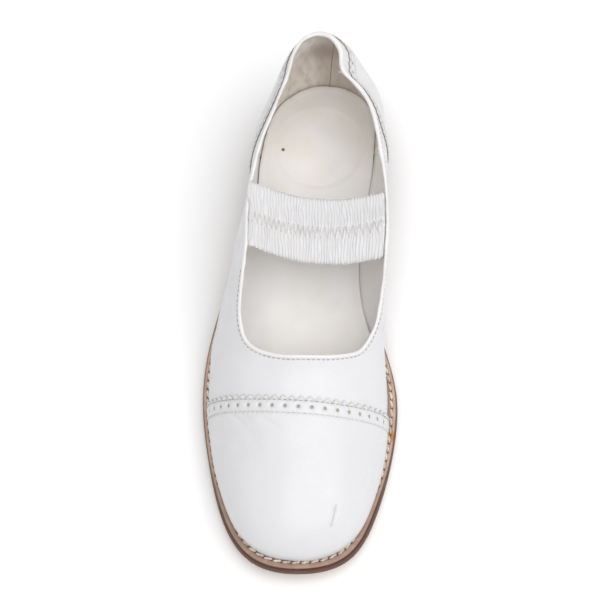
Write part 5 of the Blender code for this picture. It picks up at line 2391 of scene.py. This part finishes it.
@dataclass(frozen=True)
class Insole:
    """The insole board and the leather sock on it, with the wear of a foot."""

    board_inset: float = 2.5
    clear_of_lining: float = 2.42   # the sock's edge lies so far inside the upper's face,
    clear_of_suede: float = 2.72    # and so far behind suede_end
    suede_end: float = 45.0
    foot: float = 0.4               # height of the sock's lower edge up the wall
    sock: float = 1.1
    pad_middle: tuple[float, float] = (41.0, 1.5)
    pad_radius: float = 22.0

    def from_rim(self, places: Array) -> Array:
        """Distances of places from the rim of the heel's pad, below 0 on the pad."""
        away = places - np.array(self.pad_middle)
        return np.hypot(away[:, 0], away[:, 1]) - self.pad_radius

    def top(self, places: Array, from_edge: Array) -> Array:
        """Height of the sock: the heel's pad, the ball's hollow and edges turned up a little.

        Args:
            places: (s, x) on the sock.
            from_edge: Their distances from its edge.

        Returns:
            z at each place.
        """
        s, x = places.T
        level = LAST.levels.insole_top(s)
        from_rim = self.from_rim(places)
        pad = -0.45 * (1.0 - smooth_step((from_rim + 1.2) / 1.6))
        ring = -0.35 * bell(from_rim, 0.7)
        ball = -0.9 * np.exp(-((s - 175.0) / 32.0) ** 2 - ((x + 6.0) / 30.0) ** 2)
        waves = 0.10 * ripples(places, 16.0, 41)
        edge = 0.9 * bell(from_edge, 2.2) - 0.5 * bell(from_edge, 0.35)
        return level + pad + ring + ball + waves + edge

    def sock_edge(self, inset: float, share: float) -> Array:
        """(s, x) of the sock's edge, which follows the lining.

        Args:
            inset: How far it is drawn in.
            share: Share of the sock's height.

        Returns:
            Points round the sock.
        """
        v = SKIN.v[::2]
        girth = self.foot + (LAST.levels.insole_rise - self.foot) * share
        t = SKIN.t_at_girth(v, np.full(len(v), girth))
        ahead = smooth_step((LAST.stations(v)[1][:, 0] - self.suede_end) / 6.0)
        clear = self.clear_of_suede + (self.clear_of_lining - self.clear_of_suede) * ahead
        loop = SKIN.at(v, t, -clear)[:, :2]
        return loop - outward(loop) * inset

    def dirt_and_shade(self, places: Array, from_edge: Array) -> Array:
        """Painted shade along the edges, where the sock meets the lining, and shade and dirt painted into the
        groove round the heel's pad.
        """
        return 0.30 * bell(self.from_rim(places), 0.6) + 0.50 * bell(from_edge, 0.5)

    def build(self) -> Made:
        """Builds the board and the sock."""
        levels = LAST.levels
        stock = Stock()
        slab(stock, lambda inset, _: LAST.inside_feather(self.board_inset + inset, 360),
             [(0.3, 0.0), (0.0, 0.15), (0.0, 0.85), (0.3, 1.0)],
             lambda p, d: levels.welt_under(p[:, 0]) + 0.05,
             lambda p, d: levels.insole_top(p[:, 0]) - self.sock - 1.1, 4.0)
        board = stock.piece("insole_board", [BOARD], "insole")
        stock = Stock()
        slab(stock, self.sock_edge, [(0.25, 0.0), (0.0, 0.3), (0.0, 0.7), (0.25, 1.0)],
             lambda p, d: levels.insole_top(p[:, 0]) - self.sock - 1.05, self.top, 1.5, marks=self.dirt_and_shade)
        return [board, stock.piece("insole_sock", [SOCK], "insole")]


@dataclass(frozen=True)
class Welt:
    """The stitched strip of leather between the upper and the outsole."""

    stitch_inset: float = 2.9       # the stitch line lies so far inside the edge,
    toe_inset: float = 4.7          # and so far at the toe
    seat_end: float = 62.0          # the stitches begin ahead of the heel seat
    pitch: float = 4.6
    show: float = 3.7               # length of a stitch that shows
    ply: float = 0.39
    painted_side: float = 0.85      # the edge's paint runs so far over the top
    painted_toe: float = 0.45
    bevel: float = 0.30             # depths of the painted bevel, the ditch and the needle holes
    ditch: float = 0.30
    hole: float = 0.75
    bulge: float = 0.12             # the foot of its edge stands out so far
    under_upper: float = 2.0        # it reaches so far in under the upper
    columns: int = 1440
    toe_from: float = 205.0
    toe_over: float = 30.0
    # Rows of corners from the edge (0) to the stitch line (1) and on towards the upper.
    across: tuple[float, ...] = (0.0, 0.08, 0.18, 0.28, 0.40, 0.52, 0.66, 0.78, 0.88, 1.0, 1.12, 1.24,
                                 1.38, 1.6)

    FAR: ClassVar[float] = 9.0      # rows past the last share count as this far from the edge

    def at_toe(self, s: Array) -> Array:
        """0 along the sides and 1 at the toe."""
        return smooth_step((s - self.toe_from) / self.toe_over)

    def inset(self, s: Array) -> Array:
        """Distance of the stitch line from the sole's edge."""
        return self.stitch_inset + (self.toe_inset - self.stitch_inset) * self.at_toe(s)

    def stitch_line(self) -> Array:
        """(s, x) of the stitch line from the lateral side round the toe to the medial side."""
        edge = LAST.sole_edge(0.0, self.columns)
        line = LAST.sole_edge(self.inset(edge[:, 0]), self.columns)
        kept = line[line[:, 0] > self.seat_end]
        centre = np.array([150.0, 0.0])
        order = np.argsort(np.arctan2(*(kept - centre).T[::-1]))
        return resampled(kept[order], 0.25)

    def needle_holes(self) -> tuple[Array, Array]:
        """The stitch line and the distances of its needle holes from its start."""
        line = self.stitch_line()
        total = lengths_along(line)[-1]
        count = int(round(total / self.pitch))
        return line, np.linspace(1.0, total - 1.0, count + 1)

    def relief(self, flat: Array, from_edge: Array, from_line: Array,
               holes: Array) -> tuple[Array, Array]:
        """The top's worn bevel, the ditch of its stitches and their needle holes.

        Args:
            flat: (s, x) of places on the welt.
            from_edge: Their distances from the edge.
            from_line: Their distances from the stitch line.
            holes: (s, x) of the needle holes.

        Returns:
            z and the darkening at each place: edge paint on the bevel, painted shade in the ditch, in the
                needle holes and along the upper.
        """
        z = LAST.levels.welt_top(flat[:, 0]) + 0.07 * ripples(flat, 7.0, 31)
        painted = self.painted_side + (self.painted_toe - self.painted_side) * self.at_toe(flat[:, 0])
        bevel = 1.0 - smooth_step(from_edge / painted)
        z -= self.bevel * bevel
        stitched = smooth_step((flat[:, 0] - self.seat_end) / 4.0)
        hole = distances(covering([holes]), flat)
        z -= self.ditch * stitched * bell(from_line, 0.6) + self.hole * bell(hole, 0.5)
        # Edge paint on the bevel; painted shade in the ditch beside the stitches and in the needle holes.
        mark = 0.35 * stitched * bell(from_line, 0.65) + 1.0 * bell(hole, 0.62) + 0.9 * bevel
        # Painted shade along the foot of the upper, which hangs over the welt.
        wall = distances(covering([LAST.feather]), flat)
        return z, np.clip(mark + 0.9 * bell(wall, 1.05), 0.0, 1.0)

    def build(self) -> Made:
        """Builds the welt and its thread."""
        columns = self.columns
        line, stations = self.needle_holes()
        foot = LAST.sole_wall(-self.bulge, Outsole.wall_share, columns)
        edge = LAST.sole_wall(0.0, 1.0, columns)
        inner = LAST.inside_feather(self.under_upper, columns)
        step = self.inset(edge[:, 0]) - LAST.lean(edge[:, 0])
        normal = outward(LAST.feather)[::len(LAST.feather) // columns]
        shares = np.array(self.across)
        top = edge[:, None] - normal[:, None] * (step[:, None] * shares)[:, :, None]
        top = np.concatenate([top, 0.5 * top[:, -1:] + 0.5 * inner[:, None], inner[:, None]], axis=1)
        rows = top.shape[1]
        flat = top.reshape(-1, 2)
        from_edge = (step[:, None] * np.append(shares, [self.FAR, self.FAR])).ravel()
        z, mark = self.relief(flat, from_edge, np.abs(from_edge - np.repeat(step, rows)),
                              at_lengths(stations, lengths_along(line), line))
        low = np.stack([inner, foot], axis=1)
        under = LAST.levels.welt_under(low[:, :, :1])
        corners = np.concatenate([np.column_stack([flat, z]).reshape(columns, rows, 3),
                                  np.concatenate([low, under], axis=2)], axis=1)
        marks = np.concatenate([mark.reshape(columns, rows), np.zeros((columns, 2))], axis=1)
        count = rows + 2
        stock = Stock()
        start = stock.add(corners.reshape(-1, 3), grid_faces(columns, count, closed=True), 0,
                          marks.ravel())
        first = np.arange(columns) * count + start
        stock.join(ring_walls(first + count - 1, first), 1)
        welt = stock.piece("welt_strip", [WELTING, WELT_EDGE], "welt")
        return [welt, self.thread(line, stations)]

    def thread(self, line: Array, stations: Array) -> bpy.types.Object:
        """Sews the welt with two-ply thread.

        Args:
            line: The stitch line.
            stations: Distances of the needle holes from its start.

        Returns:
            The row of stitches.
        """
        along = lengths_along(line)
        share = np.linspace(0.0, 1.0, 11)
        lead = (self.pitch - self.show) / 2.0
        want = (stations[:-1, None] + lead + share * self.show).ravel()
        path = at_lengths(want, along, line)
        ahead = at_lengths(want + 0.1, along, line) - path
        side = unit(np.stack([-ahead[:, 1], ahead[:, 0]], axis=1))
        count = len(stations) - 1
        rise = np.tile([-0.85, -0.2, 0.12, 0.26, 0.34, 0.36, 0.34, 0.26, 0.12, -0.2, -0.85], count)
        slant = np.tile((share - 0.5) * 0.75, count)
        stock = Stock()
        for ply in (0.0, math.pi):
            turn = np.tile(share * 2.6 * math.pi, count) + ply
            flat = path + side * (slant + self.ply * 0.72 * np.cos(turn))[:, None]
            z = LAST.levels.welt_top(flat[:, 0]) - 0.05 + rise + self.ply * 0.72 * np.sin(turn)
            points = np.column_stack([flat, z]).reshape(count, len(share), 3)
            ups = np.tile([0.0, 0.0, 1.0], (count, len(share), 1))
            half = np.full(len(share), self.ply)
            tubes(stock, points, ups, half, half)
        return stock.piece("welt_stitches", [WELT_THREAD], "welt", weld=False)


@dataclass(frozen=True)
class Outsole:
    """The leather outsole with its waxed edge and the channel of its seam underneath."""

    channel: float = 6.0            # the seam's channel lies so far inside the edge
    pitch: float = 2.2
    wall_share: float = 0.6         # share of the sole's edge that is outsole; the rest is welt

    def under(self, places: Array, from_edge: Array) -> Array:
        """Height of the underside, with the channel of its seam.

        Args:
            places: (s, x) on the sole.
            from_edge: Their distances from its edge.

        Returns:
            z at each place.
        """
        tread = smooth_step((places[:, 0] - 95.0) / 12.0)
        groove = 0.5 * bell(from_edge - self.channel, 0.9) * tread
        return LAST.levels.underside(places[:, 0]) + groove

    def over(self, places: Array, _: Array) -> Array:
        """Height of the top, which all but touches the welt."""
        return LAST.levels.outsole_top(places[:, 0]) + 0.25

    def build(self) -> Made:
        """Builds the outsole."""
        stock = Stock()
        slab(stock, lambda inset, share: LAST.sole_wall(inset, self.wall_share * share, 1440),
             [(1.1, 0.0), (0.35, 0.06), (0.05, 0.2), (-0.12, 0.45), (-0.12, 0.7), (0.0, 0.88), (0.2, 0.97),
              (0.5, 1.0)], self.under, self.over, self.pitch, (0, 1, 1))
        return [stock.piece("outsole_leather", [SOLE_LEATHER, SOLE_EDGE], "outsole")]


@dataclass(frozen=True)
class Heel:
    """The stacked heel: leather lifts on a dark top piece, hollowed at its breast."""

    breast: float = 70.0            # s of the breast's corners
    hollow: float = 4.0             # depth of its curve
    taper: float = 1.5              # drawn in so far at the ground
    top_piece: float = 5.0
    lifts: int = 3
    lip: float = 0.22               # rounding of each layer's edges
    height: float = 17.35

    def outline(self, inset: float, _: float) -> Array:
        """Outline in plan, the same at every height but for the inset.

        Args:
            inset: How far it is drawn in.

        Returns:
            (s, x) round the heel.
        """
        edge = LAST.sole_edge(0.0, 360)
        back = edge[edge[:, 0] < self.breast]
        back = back[np.argsort(np.arctan2(back[:, 1], self.breast - back[:, 0]))]
        share = np.linspace(0.0, 1.0, 31)[1:-1]
        lateral, medial = back[0], back[-1]
        front = np.stack([self.breast - self.hollow * 4.0 * share * (1.0 - share),
                          medial[1] + share * (lateral[1] - medial[1])], axis=1)
        loop = np.vstack([back, front])
        return loop - outward(loop) * inset

    def build(self) -> Made:
        """Builds the lifts and the top piece."""
        bounds = [0.0, *np.linspace(self.top_piece, self.height, self.lifts + 1)]
        stocks = [Stock(), Stock()]
        for number, (low, high) in enumerate(zip(bounds, bounds[1:])):
            start = self.taper * (1.0 - low / self.height)
            end = self.taper * (1.0 - high / self.height)
            rings = [(start + self.lip, 0.0), (start, 0.09), (end, 0.91), (end + self.lip, 1.0)]
            slab(stocks[number > 0], self.outline, rings, lambda p, d, z=low: np.full(len(p), z),
                 lambda p, d, z=high: np.full(len(p), z), 5.0)
        return [stocks[0].piece("heel_top_piece", [TOP_PIECE], "heel", weld=False),
                stocks[1].piece("heel_lifts", [HEEL_EDGE], "heel", weld=False)]


# ---- The picture ----------------------------------------------------------------------------
@dataclass(frozen=True)
class Studio:
    """Pale floor, soft light from overhead and the camera."""

    camera_at: tuple[float, float, float] = (0.0512, -0.3182, 0.8328)
    aim: tuple[float, float, float] = (0.0500, 0.0149, 0.0)
    lens: float = 104.6
    turn_left: float = math.atan(6.0 / 104.64)      # the camera looks a little past its aim
    lamp_at: tuple[float, float, float] = (0.36, -0.30, 1.50)
    lamp_size: float = 2.0
    lamp_power: float = 21.5
    sky: float = 0.56

    def floor(self) -> None:
        """A wide pale floor."""
        bpy.ops.mesh.primitive_plane_add(size=6.0, location=(0.0, 0.0, -0.0005))
        floor = bpy.context.object
        floor.name = "floor"
        shader = Shader("floor")
        tint = shader.mix(shader.noise(220.0, 2.0), (0.975, 0.975, 0.975), (0.985, 0.985, 0.985))
        shader.shade(Base_Color=tint, Roughness=0.75)
        floor.data.materials.append(shader.material)

    def light(self) -> None:
        """A broad ceiling of light, a little brighter from the medial side."""
        world = bpy.data.worlds.new("studio")
        world.use_nodes = True
        world.node_tree.nodes["Background"].inputs["Color"].default_value = (1.0, 1.0, 1.0, 1.0)
        world.node_tree.nodes["Background"].inputs["Strength"].default_value = self.sky
        bpy.context.scene.world = world
        light = bpy.data.lights.new("ceiling", "AREA")
        light.shape = "DISK"
        light.size = self.lamp_size
        light.energy = self.lamp_power
        lamp = bpy.data.objects.new("ceiling", light)
        lamp.location = self.lamp_at
        lamp.rotation_mode = "QUATERNION"
        lamp.rotation_quaternion = Vector(self.lamp_at).to_track_quat("Z", "Y")
        bpy.context.scene.collection.objects.link(lamp)

    def camera(self) -> None:
        """The camera."""
        data = bpy.data.cameras.new("camera")
        data.lens = self.lens
        data.sensor_width = 36.0
        data.clip_start = 0.01
        camera = bpy.data.objects.new("camera", data)
        camera.location = self.camera_at
        camera.rotation_mode = "QUATERNION"
        look = (Vector(self.aim) - Vector(self.camera_at)).to_track_quat("-Z", "Y")
        camera.rotation_quaternion = look @ Quaternion((0.0, 1.0, 0.0), self.turn_left)
        bpy.context.scene.collection.objects.link(camera)
        bpy.context.scene.camera = camera

    def build(self) -> None:
        """Sets the picture up."""
        self.floor()
        self.light()
        self.camera()
        bpy.context.scene.view_settings.view_transform = "Standard"


def main() -> None:
    """Builds the shoe piece by piece, then the picture round it."""
    logging.basicConfig(level=logging.INFO, format="%(message)s")
    for assembly in (Vamp(), Rim(), Stitches(), Lining(), ToeCap(), HeelCounter(), Strap(), Insole(),
                     Welt(), Outsole(), Heel()):
        for piece in assembly.build():
            LOG.info("%s: %d faces", piece.name, len(piece.data.polygons))
    Studio().build()


if __name__ == "__main__":
    main()
